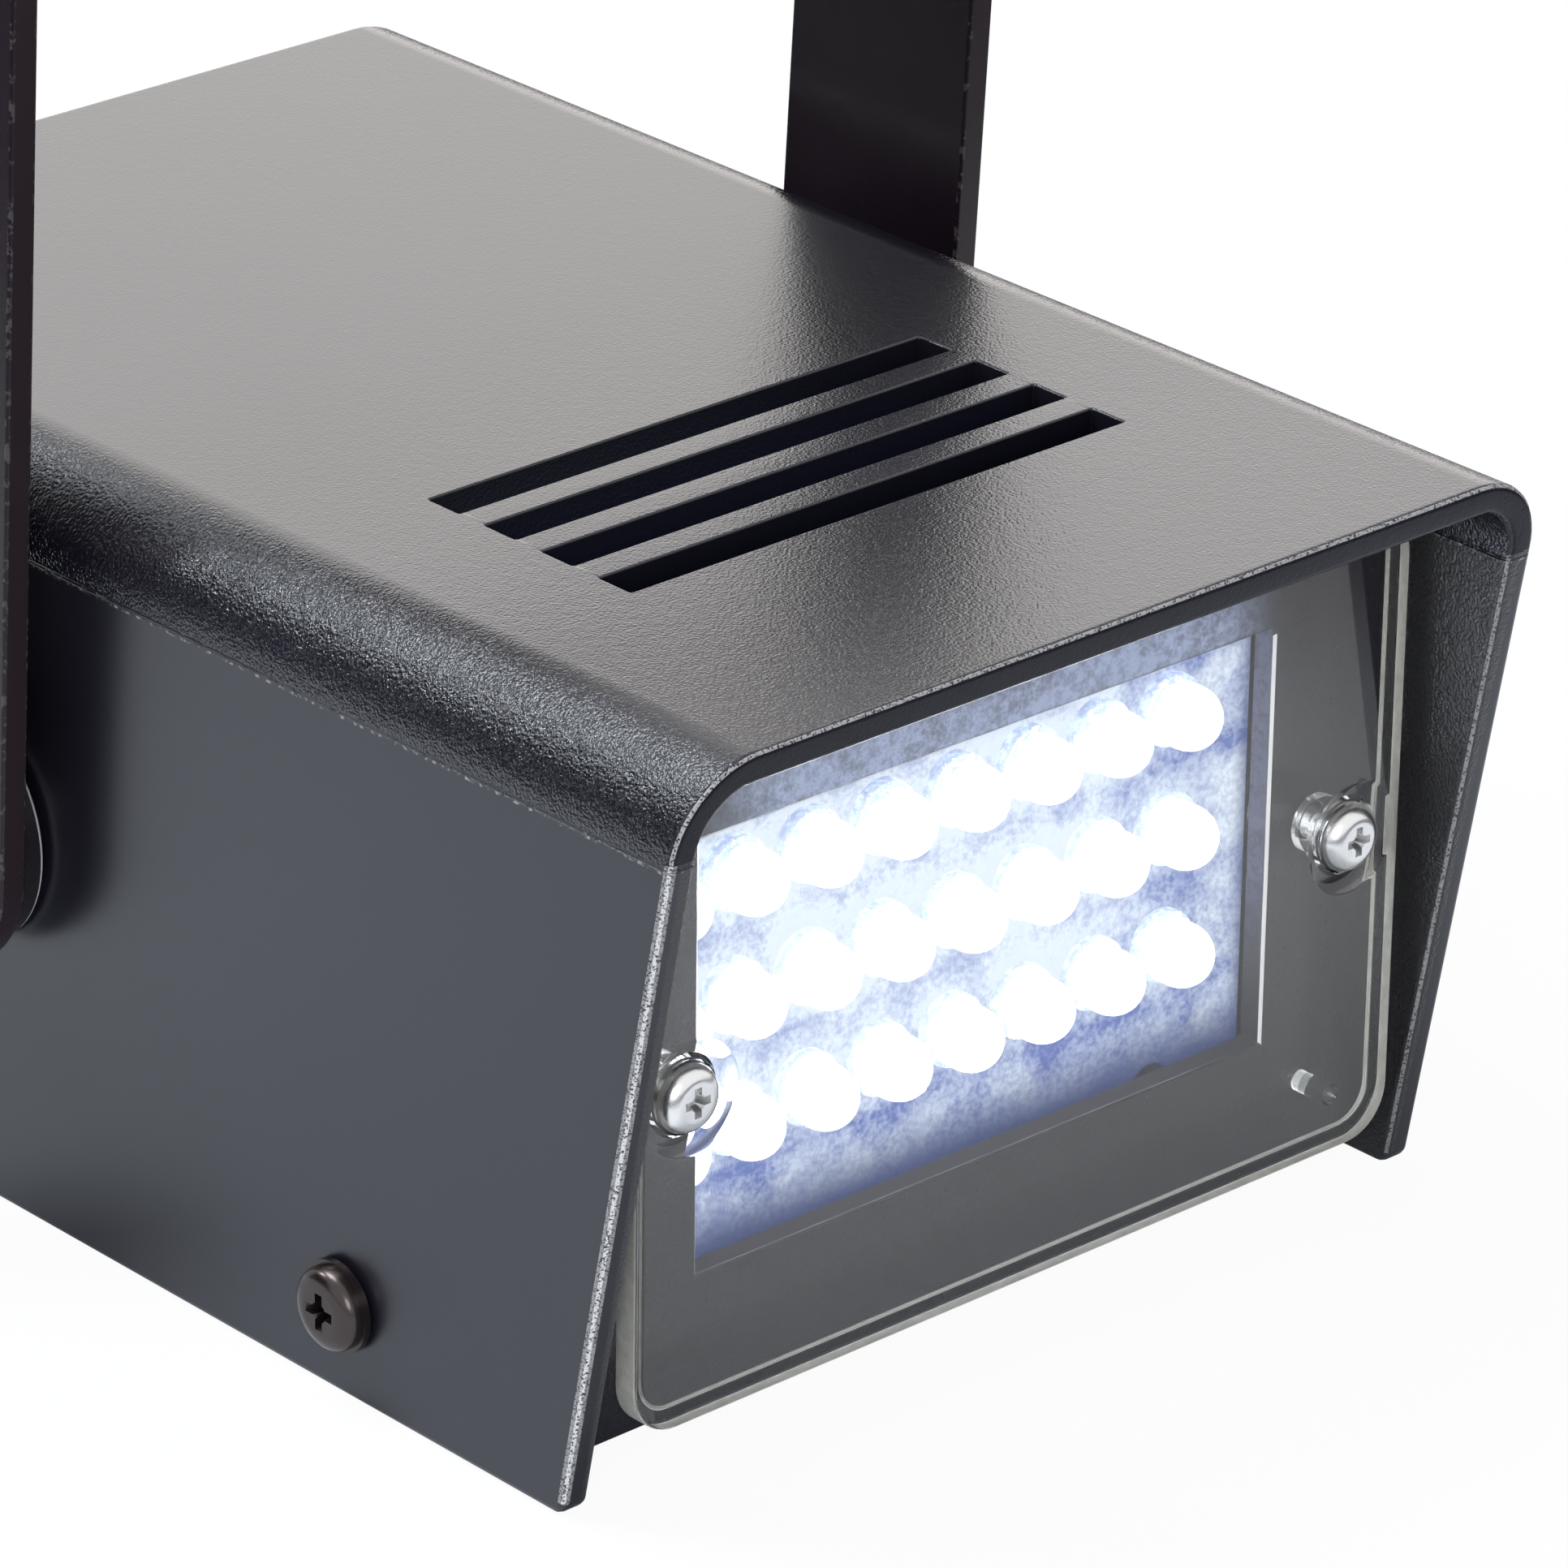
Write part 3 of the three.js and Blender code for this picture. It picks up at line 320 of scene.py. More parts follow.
def combine(obj, operation, *tools):
    """Adds solids to a piece, or cuts them out of it, and uses them up."""
    for tool in tools:
        apply(obj, "BOOLEAN", operation=operation, solver="EXACT", object=tool)
        used = tool.data
        bpy.data.objects.remove(tool)
        bpy.data.meshes.remove(used)


def drill(obj, *rods):
    """Cuts round holes, each given as add_rod takes it."""
    for rod in rods:
        combine(obj, "DIFFERENCE", add_rod(*rod))


def soften(obj, width, segments=2, angle=32):
    """Rounds every sharp edge."""
    apply(
        obj, "BEVEL", width=width, segments=segments, limit_method="ANGLE", angle_limit=math.radians(angle),
        use_clamp_overlap=True, miter_outer="MITER_ARC",
    )


def copied(obj, name, shift=(0, 0, 0)):
    """A copy with its own mesh, moved in the mesh."""
    take(obj)
    bpy.ops.object.duplicate(linked=False)
    twin = named(name)
    twin.location = twin.location + Vector(shift)
    baked_place()
    return twin


def set_down(obj, at, facing):
    """Turns a piece built about Z to its side and puts it in its place, in its mesh."""
    take(obj)
    obj.rotation_euler = FACING[facing]
    obj.location = at
    baked_place()
    return obj


def mark_rounded_edges(obj, test=None):
    """Marks the long narrow faces that round an edge, where the rubbing and the painted highlight go.

    The test gives a face's share of rubbing and painted highlight by its centre and normal."""
    mesh = obj.data
    rub = mesh.attributes.new("rub", "FLOAT", "FACE")
    for face in mesh.polygons:
        wear_and_glint = test(face.center, face.normal) if test else 1.0
        longest = max((mesh.vertices[a].co - mesh.vertices[b].co).length for a, b in face.edge_keys)
        narrow = face.area < longest * NARROW_FACE and longest > SHORTEST_EDGE
        rub.data[face.index].value = float(wear_and_glint) if narrow else 0.0


def plain_edges(centre, normal):
    return 0


def mark_cut_edges(obj, bends):
    """Marks the sheared edges of a bent strip whose arms hang along Z below its bends."""
    cut = obj.data.attributes.new("cut", "FLOAT", "FACE")
    for face in obj.data.polygons:
        sheared = abs(face.normal.x) < 0.5 if face.center.z < bends else abs(face.normal.y) > 0.9
        cut.data[face.index].value = 1.0 if sheared else 0.0


def paint_two(obj, slots, test):
    """Gives a piece its first material, and its second one on the faces that pass the test."""
    for slot in slots:
        obj.data.materials.append(material_for(slot))
    edit(obj)
    choose("FACE", test)
    bpy.context.object.active_material_index = 1
    bpy.ops.object.material_slot_assign()
    settle()


def finish_piece(obj, slot, body, node, smooth=35, worn_and_glinting=None):
    """Smooths and paints a piece and ties it to the frame."""
    mark_rounded_edges(obj, worn_and_glinting)
    take(obj)
    bpy.ops.object.shade_smooth_by_angle(angle=math.radians(smooth))
    if not obj.data.materials:
        obj.data.materials.append(material_for(slot))
    apply(obj, "WEIGHTED_NORMAL", mode="FACE_AREA", keep_sharp=True, weight=60)
    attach(obj, body)
    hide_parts(node)
    return obj


def paint_node(node, material):
    """Gives a carried-over frame node its material."""
    slots = frame["nodes"][node].material_slots
    if not slots:
        frame["nodes"][node].data.materials.append(material)
    for slot in slots:
        slot.material = material


def middle(node):
    low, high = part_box(node)
    return (low + high) / 2


def joint_place(name):
    return Vector(next(joint for joint in frame["joints"] if joint["name"] == name)["pos_m"])


def window_opening():
    """Half-width, floor and top of the lamp window."""
    return (
        middle("led_row1_col8").x + WINDOW_SIDE,
        middle("led_row3_col1").z - WINDOW_BELOW,
        middle("led_row1_col1").z + WINDOW_ABOVE,
    )


# Materials


class Signal:
    """A node's output that takes part in sums, with a math node for each sign."""

    def __init__(self, nodes, socket):
        self.nodes, self.socket = nodes, socket

    def __add__(self, other):
        return self.nodes.math("ADD", self, other)

    def __sub__(self, other):
        return self.nodes.math("SUBTRACT", self, other)

    def __rsub__(self, other):
        return self.nodes.math("SUBTRACT", other, self)

    def __mul__(self, other):
        return self.nodes.math("MULTIPLY", self, other)

    def __rtruediv__(self, other):
        return self.nodes.math("DIVIDE", other, self)

    def __pow__(self, other):
        return self.nodes.math("POWER", self, other)

    def __abs__(self):
        return self.nodes.math("ABSOLUTE", self)


class Nodes:
    """A node tree that is filled line by line."""

    def __init__(self, tree):
        self.tree = tree

    def add(self, kind, settings=None, **inputs):
        node = self.tree.nodes.new(kind)
        for key, value in (settings or {}).items():
            setattr(node, key, value)
        for key, value in inputs.items():
            self.feed(node, key.replace("_", " "), value)
        return node

    def feed(self, node, key, value):
        """Links a signal or sets a plain value; a key such as i2 counts the sockets."""
        socket = node.inputs[int(key[1:])] if key[:1] == "i" and key[1:].isdigit() else node.inputs[key]
        if isinstance(value, Signal):
            value = value.socket
        if isinstance(value, bpy.types.NodeSocket):
            self.tree.links.new(value, socket)
        else:
            socket.default_value = value

    def feed_all(self, node, **inputs):
        for key, value in inputs.items():
            self.feed(node, key.replace("_", " "), value)

    def signals(self, node):
        return {socket.name: Signal(self, socket) for socket in node.outputs if socket.name}

    def math(self, operation, *values, clamp=False):
        node = self.add("ShaderNodeMath", {"operation": operation, "use_clamp": clamp})
        for i, value in enumerate(values):
            self.feed(node, f"i{i}", value)
        return Signal(self, node.outputs[0])

    def ramp(self, value, low, high):
        """0 below low, 1 above high, smooth between."""
        smooth = {"interpolation_type": "SMOOTHSTEP"}
        node = self.add("ShaderNodeMapRange", smooth, Value=value, From_Min=low, From_Max=high)
        return Signal(self, node.outputs["Result"])

    def rise(self, value, start, low, high):
        """0 at low millimetres past the start and 1 at high millimetres past it, smooth between."""
        return self.ramp(value, start + low * MM, start + high * MM)

    def blend(self, factor, first, second):
        node = self.add("ShaderNodeMix", {"data_type": "RGBA"}, i0=factor, i6=first, i7=second)
        return Signal(self, node.outputs[2])

    def noise(self, scale, detail=3.0, roughness=0.55, vector=None):
        vector = self.place() if vector is None else vector
        return Signal(self, self.add(
            "ShaderNodeTexNoise", Vector=vector, Scale=scale, Detail=detail, Roughness=roughness
        ).outputs["Fac"])

    def spots(self, scale, detail, roughness, low, high):
        """Noise cut down to patches."""
        return self.ramp(self.noise(scale, detail, roughness), low, high)

    def place(self):
        return self.add("ShaderNodeTexCoord").outputs["Object"]

    def xyz(self):
        """The place on the object along each axis."""
        node = self.add("ShaderNodeSeparateXYZ", Vector=self.place())
        return [Signal(self, socket) for socket in node.outputs]

    def bump(self, **inputs):
        return Signal(self, self.add("ShaderNodeBump", **inputs).outputs["Normal"])

    def attribute(self, name):
        return Signal(self, self.add("ShaderNodeAttribute", {"attribute_name": name}).outputs["Fac"])

    def mixed(self, factor, first, second):
        """One shader mixed into another."""
        return self.add("ShaderNodeMixShader", i0=factor, i1=first.outputs[0], i2=second.outputs[0])

    def seen(self, *rays):
        """1 for the kinds of ray named, and 0 for others."""
        path = self.signals(self.add("ShaderNodeLightPath"))
        found = path[f"Is {rays[0]} Ray"]
        for ray in rays[1:]:
            found = self.math("MAXIMUM", found, path[f"Is {ray} Ray"])
        return found


def rgb(value, gain=1.0):
    return (*[channel * gain for channel in value], 1.0)


def group(nodes, name, **values):
    node = nodes.add("ShaderNodeGroup", {"node_tree": bpy.data.node_groups[name]}, **values)
    return nodes.signals(node)


def new_group(name, inputs, outputs):
    """A shader node group with number inputs and named outputs, and its inner nodes."""
    tree = bpy.data.node_groups.new(name, "ShaderNodeTree")
    for title, default in inputs.items():
        socket = tree.interface.new_socket(title, in_out="INPUT", socket_type="NodeSocketFloat")
        socket.default_value = default
    for title, kind in outputs.items():
        tree.interface.new_socket(title, in_out="OUTPUT", socket_type=f"NodeSocket{kind}")
    nodes = Nodes(tree)
    return nodes, nodes.signals(nodes.add("NodeGroupInput")), nodes.add("NodeGroupOutput")


def make_groups():
    """Effects that several materials share."""
    nodes, given, out = new_group(
        "Eroded grain", {"Size": 0.00026, "Depth": 0.00001, "Share": 1.0}, {"Normal": "Vector", "Grain": "Float"}
    )
    fine = nodes.noise(1.0 / given["Size"], 1.0, 0.5)
    coarse = nodes.noise(0.31 / given["Size"], 2.0, 0.5)
    height = (fine * 0.8 + coarse * 0.5) * 2.0
    bump = nodes.bump(Strength=given["Share"], Distance=given["Depth"], Height=height)
    nodes.feed_all(out, Normal=bump, Grain=fine)

    # Paler rounded edges in patches: rubbing on some pieces, a painted highlight on others.
    nodes, given, out = new_group("Edge rubbing and glint", {"Amount": 0.3, "Patch size": 0.004, "Cover": 0.5}, {"Mask": "Float"})
    patch = nodes.ramp(nodes.noise(1.0 / given["Patch size"], 3.0, 0.6) + given["Cover"], 0.97, 1.07)
    nodes.feed_all(out, Mask=nodes.attribute("rub") * patch * given["Amount"])

    nodes, given, out = new_group("Handling marks", {"Size": 0.02, "Low": 0.3, "High": 0.4}, {"Value": "Float"})
    cloud = nodes.noise(1.0 / given["Size"], 4.0, 0.6)
    nodes.feed_all(out, Value=given["Low"] + cloud * (given["High"] - given["Low"]))

    nodes, given, out = new_group(
        "Fine scratches", {"Size": 0.003, "Depth": 0.000004}, {"Normal": "Vector", "Mask": "Float"}
    )
    stretched = nodes.add("ShaderNodeMapping", Vector=nodes.place(), Scale=(1.0, 1.0, 0.05)).outputs[0]
    mask = nodes.ramp(nodes.noise(1.0 / given["Size"], 6.0, 0.7, stretched), 0.60, 0.66)
    nodes.feed_all(out, Normal=nodes.bump(Strength=1.0, Distance=given["Depth"], Height=mask), Mask=mask)


def surface(name, **constants):
    """A new material, its nodes and its Principled shader with its constant values."""
    material = bpy.data.materials.new(name)
    material.use_nodes = True
    nodes = Nodes(material.node_tree)
    shader = material.node_tree.nodes["Principled BSDF"]
    nodes.feed_all(shader, **constants)
    return material, nodes, shader


def marks_on(nodes, size, low, high):
    """A roughness between two values, in clouds of a size."""
    return group(nodes, "Handling marks", Size=size, Low=low, High=high)["Value"]


def wear_and_glint_on(nodes, amount, patch, cover):
    return group(nodes, "Edge rubbing and glint", Amount=amount, Patch_size=patch, Cover=cover)["Mask"]


def grain_on(nodes, size, depth, share):
    return group(nodes, "Eroded grain", Size=size, Depth=depth, Share=share)


def plastic(name, index):
    tint = (0.88, 0.93, 1.0, 1)
    return surface(name, IOR=index, Specular_Tint=tint)


def feed_plastic(nodes, shader, base, rough, normal, wear_and_glint):
    """Feeds a plastic's shader, with its rounded edges paler: rubbing, and on some pieces a painted highlight."""
    worn_and_glinting = nodes.blend(wear_and_glint_on(nodes, *wear_and_glint), base, (0.80, 0.78, 0.79, 1))
    nodes.feed_all(shader, Base_Color=worn_and_glinting, Roughness=rough, Normal=normal)


def moulded(name, tone, roughness, grain, size, depth, index=1.5, wear_and_glint=(0.12, 0.002, 0.5), spill=None):
    """Moulded plastic with an eroded grain of a size and depth in millimetres."""
    material, nodes, shader = plastic(name, index)
    grained = grain_on(nodes, size * MM, depth * MM, grain)
    marks = marks_on(nodes, 0.03, roughness - 0.02, roughness + 0.02)
    base = nodes.blend(grained["Grain"] * 0.35, rgb(tone), rgb(tone, 1.6))
    feed_plastic(nodes, shader, base, marks, grained["Normal"], wear_and_glint)
    if spill:
        feed_spill(nodes, shader, marks, *spill)
    return material


def moulded_case(name, tone, roughness, size, depth, seam, arc):
    """The cover's plastic, with its grain on the rounded corners, a parting line at the seam's height, painted light
    on the walls' inner faces and a painted highlight on its rims.

    The corners' rounding starts at the distance arc from the middle."""
    material, nodes, shader = plastic(name, 1.6)
    x, y, z = nodes.xyz()
    across = abs(x)
    bend = nodes.rise(across, arc, 0, 4)
    above = nodes.rise(z, seam, 0, 0.3)
    below = 1.0 - above
    flat = nodes.rise(y, 0, 12, -35) * 0.24 + 0.10
    inside = below * nodes.rise(across, arc, 6.6, 6.2)
    share = nodes.math("MAXIMUM", bend, flat) * above + 0.03 + inside * 0.9
    grained = grain_on(nodes, size, depth, share)
    marks = marks_on(nodes, 0.03, roughness - 0.02, roughness + 0.02) - bend * 0.10 + below * 0.14
    base = nodes.blend(grained["Grain"] * 0.35, rgb(tone), rgb(tone, 1.6))
    # Painted light: the walls' inner faces below the seam are a paler grey.
    base = nodes.blend(inside, base, (0.036, 0.035, 0.036, 1))
    off = z + nodes.noise(2600.0, 2.0) * 0.00010 - seam
    line = (1.0 - nodes.rise(abs(off), 0, 0.06, 0.18)) * nodes.spots(900.0, 3.0, 0.55, 0.34, 0.48)
    under = nodes.rise(abs(off + 0.00026), 0, 0.14, 0.04)
    base = nodes.blend(under * nodes.spots(1500.0, 3.0, 0.55, 0.50, 0.62), base, (0.30, 0.29, 0.30, 1))
    base = nodes.blend(line, base, rgb(tone, 0.1))
    normal = nodes.bump(Strength=1.0, Distance=0.00025, Height=1.0 - line, Normal=grained["Normal"])
    # Painted highlight, partly rubbing, at full strength on the rounded rims that the cover marks.
    feed_plastic(nodes, shader, base, marks, normal, (1.0, 0.00019, 0.57))
    return material


def feed_spill(nodes, shader, marks, front, window):
    """The LEDs' light on the moulding round their window: the strip above it and its inner walls."""
    half, floor, top = window
    x, y, z = nodes.xyz()
    across = abs(x)
    strip = nodes.rise(across, half, 0.5, -7.5) * nodes.rise(z, top, 0, 0.4)
    strip = strip * (nodes.rise(z, top, 6.5, 1.0) * 0.65 + 0.35) * nodes.rise(y, front, 0.4, 0.2)
    streak = nodes.spots(1300.0, 5.0, 0.75, 0.36, 0.64)
    cloud = nodes.spots(240.0, 3.0, 0.6, 0.34, 0.66)
    mottle = streak * 0.6 + cloud * 0.25 + 0.40
    walls = nodes.rise(across, half, 0.5, 0.3) * nodes.rise(z, floor, -0.6, -0.3) * nodes.rise(z, top, 0.5, 0.3)
    walls = walls * nodes.rise(y, front, 0.2, 0.4) * nodes.rise(y, front, 2.7, 2.3)
    light = nodes.blend(strip * mottle, (0, 0, 0, 1), (0.28, 0.34, 0.52, 1))
    light = nodes.blend(walls * nodes.rise(z, floor, 2, 18) * mottle, light, (0.08, 0.095, 0.17, 1))
    rough = nodes.math("MAXIMUM", marks, walls * 0.92)
    nodes.feed_all(shader, Emission_Color=light, Emission_Strength=1.0, Roughness=rough)


def plated(name, tone, roughness, metallic=1.0):
    """Plated steel with turning marks and rubbed edges."""
    material, nodes, shader = surface(name, Metallic=metallic)
    pale = rgb([min(1, channel * 1.8 + 0.03) for channel in tone])
    nodes.feed_all(
        shader, Base_Color=nodes.blend(wear_and_glint_on(nodes, 0.3, 0.0012, 0.45), rgb(tone), pale),
        Roughness=marks_on(nodes, 0.0012, roughness * 0.7, roughness * 1.4),
        Normal=grain_on(nodes, 0.00022, 0.000004, 0.7)["Normal"],
    )
    return material


def painted(name, tone):
    """Glossy black paint on steel strip, with a faint ripple and long scratches; its sheared edges are painted paler
    as painted light, and its rounded edges paler from rubbing and a painted highlight.
    """
    material, nodes, shader = surface(name, IOR=1.36)
    scratch = group(nodes, "Fine scratches", Size=0.0012, Depth=0.000003)
    base = nodes.blend(scratch["Mask"] * 0.25, rgb(tone), rgb(tone, 2.6))
    # Painted light: the sheared edge faces are paler.
    base = nodes.blend(nodes.attribute("cut") * 0.9, base, (0.030, 0.020, 0.025, 1))
    nodes.feed_all(
        shader, Base_Color=nodes.blend(wear_and_glint_on(nodes, 0.6, 0.0008, 0.45), base, (0.11, 0.10, 0.10, 1)),
        Roughness=marks_on(nodes, 0.012, 0.20, 0.32), Normal=grain_on(nodes, 0.0009, 0.000010, 0.5)["Normal"],
    )
    return material


def clear(name):
    """Clear moulded plastic that lets lamps through to what is behind it."""
    material, nodes, shader = surface(name, Base_Color=(0.96, 0.97, 0.97, 1), Transmission_Weight=1.0, IOR=1.49)
    scratch = group(nodes, "Fine scratches", Size=0.004, Depth=0.0000015)
    nodes.feed_all(shader, Roughness=marks_on(nodes, 0.02, 0.0, 0.05), Normal=scratch["Normal"])
    through = nodes.add("ShaderNodeBsdfTransparent", Color=(0.9, 0.9, 0.9, 1))
    mix = nodes.mixed(nodes.seen("Shadow"), shader, through)
    nodes.feed(nodes.tree.nodes["Material Output"], "Surface", mix.outputs[0])
    return material


def frosted(name, tone):
    """The lens's sawn edge, which is dull and carries the LEDs' light."""
    material, nodes, shader = surface(name)
    nodes.feed_all(
        shader, Base_Color=nodes.blend(nodes.noise(900.0, 3.0, 0.6), rgb(tone, 0.55), rgb(tone, 1.25)),
        Roughness=marks_on(nodes, 0.003, 0.25, 0.50), Normal=grain_on(nodes, 0.0005, 0.00001, 0.6)["Normal"],
    )
    return material


def lit_resin(name, tone, strength, front, back):
    """An LED's water-clear resin, lit from inside: white at the dome and bluish and streaked at the foot."""
    material, nodes, shader = surface(
        name, Base_Color=(0.35, 0.38, 0.45, 1), IOR=1.5, Emission_Strength=strength
    )
    depth = nodes.xyz()[1]
    swirl = nodes.spots(1100.0, 4.0, 0.7, 0.36, 0.66)
    foot = nodes.ramp(depth + (swirl - 0.5) * 0.0012, front + 0.0025, back - 0.0010)
    deep = nodes.blend(swirl, rgb(tone, 0.60 / strength), rgb(tone, 1.80 / strength))
    glow = nodes.blend(foot, WHITE, deep)
    nodes.feed_all(shader, Emission_Color=glow, Roughness=marks_on(nodes, 0.004, 0.05, 0.14))
    return material


def lit_board(name, tone, columns, rows, window):
    """The LEDs' board, mottled by their light, which falls off towards the window's edges.

    Columns and rows are each a first place and a pitch."""
    material, nodes, shader = surface(name, Roughness=0.6, Specular_IOR_Level=0.1, Emission_Strength=1.0)
    half, floor, top = window
    x, _, z = nodes.xyz()
    beside = nodes.math("PINGPONG", x - columns[0], columns[1] / 2)
    upward = nodes.math("PINGPONG", z - rows[0], rows[1] / 2)
    away = nodes.math("SQRT", beside ** 2.0 + upward ** 2.0)
    ring = 1.0 - nodes.rise(away, 0, 2.4, 6.0)
    mottle = nodes.spots(1900.0, 5.0, 0.78, 0.38, 0.62)
    cloud = nodes.spots(230.0, 3.0, 0.6, 0.36, 0.64)
    inward = nodes.rise(x, half, 0, -12) * nodes.rise(z, floor, 1, 10)
    light = ring * 0.50 + mottle * 0.36 + cloud * 0.46 + inward * 0.52
    glow = nodes.blend(nodes.math("SUBTRACT", light, 0.30, clamp=True), rgb(tone), (0.82, 0.91, 1.0, 1))
    lit = nodes.rise(abs(x), half, 6.9, 4.2) * nodes.rise(z, floor, -4.7, 1.2) * nodes.rise(z, top, -1.0, -6.2)
    nodes.feed_all(
        shader, Emission_Color=nodes.blend(lit, (0.024, 0.042, 0.150, 1), glow),
        Base_Color=nodes.blend(mottle, (0.012, 0.018, 0.05, 1), (0.03, 0.04, 0.09, 1)),
    )
    return material


def circuit_board(name):
    """Green solder mask with copper tracks under it and a faint weave."""
    material, nodes, shader = surface(name)
    brick = nodes.add("ShaderNodeTexBrick", {"offset": 0.4, "squash": 1.6}, Vector=nodes.place(), Scale=160.0)
    tracks = brick.outputs["Fac"]
    green = nodes.blend(tracks, (0.012, 0.085, 0.035, 1), (0.035, 0.17, 0.07, 1))
    nodes.feed_all(
        shader, Base_Color=nodes.blend(nodes.noise(2200.0, 2.0) * 0.3, green, (0.02, 0.12, 0.06, 1)),
        Normal=nodes.bump(Distance=0.00004, Strength=0.6, Height=tracks), Roughness=marks_on(nodes, 0.01, 0.28, 0.42),
    )
    return material


def banded(name, tone, mark, axis, start, width):
    """A sleeve or body with one band of another colour at a place along an axis."""
    material, nodes, shader = surface(name)
    band = nodes.math("LESS_THAN", abs(nodes.xyz()["XYZ".index(axis)] - start), width / 2)
    nodes.feed_all(
        shader, Base_Color=nodes.blend(band, rgb(tone), rgb(mark)), Roughness=marks_on(nodes, 0.006, 0.25, 0.42),
        Normal=grain_on(nodes, 0.0006, 0.000006, 0.5)["Normal"],
    )
    return material


def make_materials(finish):
    """Every material by its slot's name."""
    sizes = bpy.context.scene.strobe_sizes
    grain, depth = finish.grain_size / MM, finish.grain_depth / MM
    led_low, led_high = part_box("led_row1_col1")
    columns = (middle("led_row1_col1").x, middle("led_row1_col2").x - middle("led_row1_col1").x)
    rows = (middle("led_row3_col1").z, middle("led_row2_col1").z - middle("led_row3_col1").z)
    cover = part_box("top_cover")[1]
    seam = cover.z - sizes.corner - 0.4 * MM
    arc = cover.x - sizes.draft - sizes.corner - 0.5 * MM
    spill = (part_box("base_chassis")[0].y, window_opening())
    sleeve_end, rust, ink = middle("filter_capacitor").x - 5 * MM, (0.30, 0.10, 0.04), (0.55, 0.56, 0.60)
    return {
        "case_plastic": moulded_case(
            "Case plastic", finish.case_colour, finish.case_roughness, finish.grain_size, finish.grain_depth, seam, arc
        ),
        # The hood's front face gets a duller copy of the case plastic, as painted shade.
        "case_lip": moulded("Case lip", finish.case_colour, 0.30, 0.25, grain, depth, 1.3, (0.0, 0.002, 0.5)),
        # Its marked edges take a full-strength painted highlight line; spill is the LEDs' light painted round the
        # window.
        "chassis_plastic": moulded(
            "Chassis plastic", finish.chassis_colour, 0.26, 0.6, grain, depth * 0.45, 1.41, (1.0, 0.004, 1.0), spill
        ),
        "clear_plastic": clear("Lens plastic"),
        "lens_edge": frosted("Lens edge", (0.56, 0.55, 0.50)),
        "bright_steel": plated("Bright steel", (0.86, 0.86, 0.86), 0.24),
        "black_steel": plated("Blackened steel", (0.075, 0.062, 0.062), 0.22, 0.9),
        "zinc_steel": plated("Zinc steel", (0.50, 0.51, 0.54), 0.30),
        "white_board": lit_board("Lit board", finish.board_colour, columns, rows, window_opening()),
        "green_board": circuit_board("Circuit board"),
        "led_resin": lit_resin("Lit resin", finish.glow_colour, finish.glow, led_low.y, led_high.y),
        "fuse_glass": banded("Fuse glass", (0.62, 0.66, 0.66), (0.42, 0.45, 0.45), "Y", middle("fuse").y, 0.010),
        "film_plastic": moulded("Film capacitor case", (0.34, 0.03, 0.02), 0.32, 0.5, 0.5, 0.01),
        "black_moulding": moulded("Black moulding", (0.010, 0.010, 0.0115), 0.42, 1.0, 0.30, 0.018),
        "capacitor_sleeve": banded("Capacitor sleeve", (0.012, 0.018, 0.05), ink, "X", sleeve_end, 0.003),
        "resistor_body": banded("Resistor body", (0.50, 0.40, 0.26), rust, "Y", middle("power_resistor").y, 0.0014),
        "white_plastic": moulded("White plastic", (0.72, 0.71, 0.67), 0.38, 0.6, 0.4, 0.01),
        "lead_sleeve": moulded("Lead sleeve", (0.42, 0.02, 0.018), 0.40, 0.6, 0.5, 0.01),
        # Its marked edges take a strong pale mark, a painted highlight on the spacers' edge against the case.
        "black_rubber": moulded(
            "Black rubber", (0.015, 0.011, 0.0135), 0.36, 0.8, 0.35, 0.010, wear_and_glint=(0.9, 0.003, 0.85)
        ),
        "black_paint": painted("Black paint", finish.bracket_colour),
        "pointer_paint": moulded("Pointer paint", (0.72, 0.72, 0.70), 0.40, 0.4, 0.3, 0.008),
    }


MATERIALS = {}


def material_for(slot):
    if not MATERIALS:
        make_groups()
        MATERIALS.update(make_materials(bpy.context.scene.strobe_finish))
    return MATERIALS[slot]


# Pieces


def aimed(place, height):
    """The turn that faces a lamp or card to a point on the object's middle line."""
    return (Vector(place) - Vector((0, 0, height))).to_track_quat("Z", "Y").to_euler()


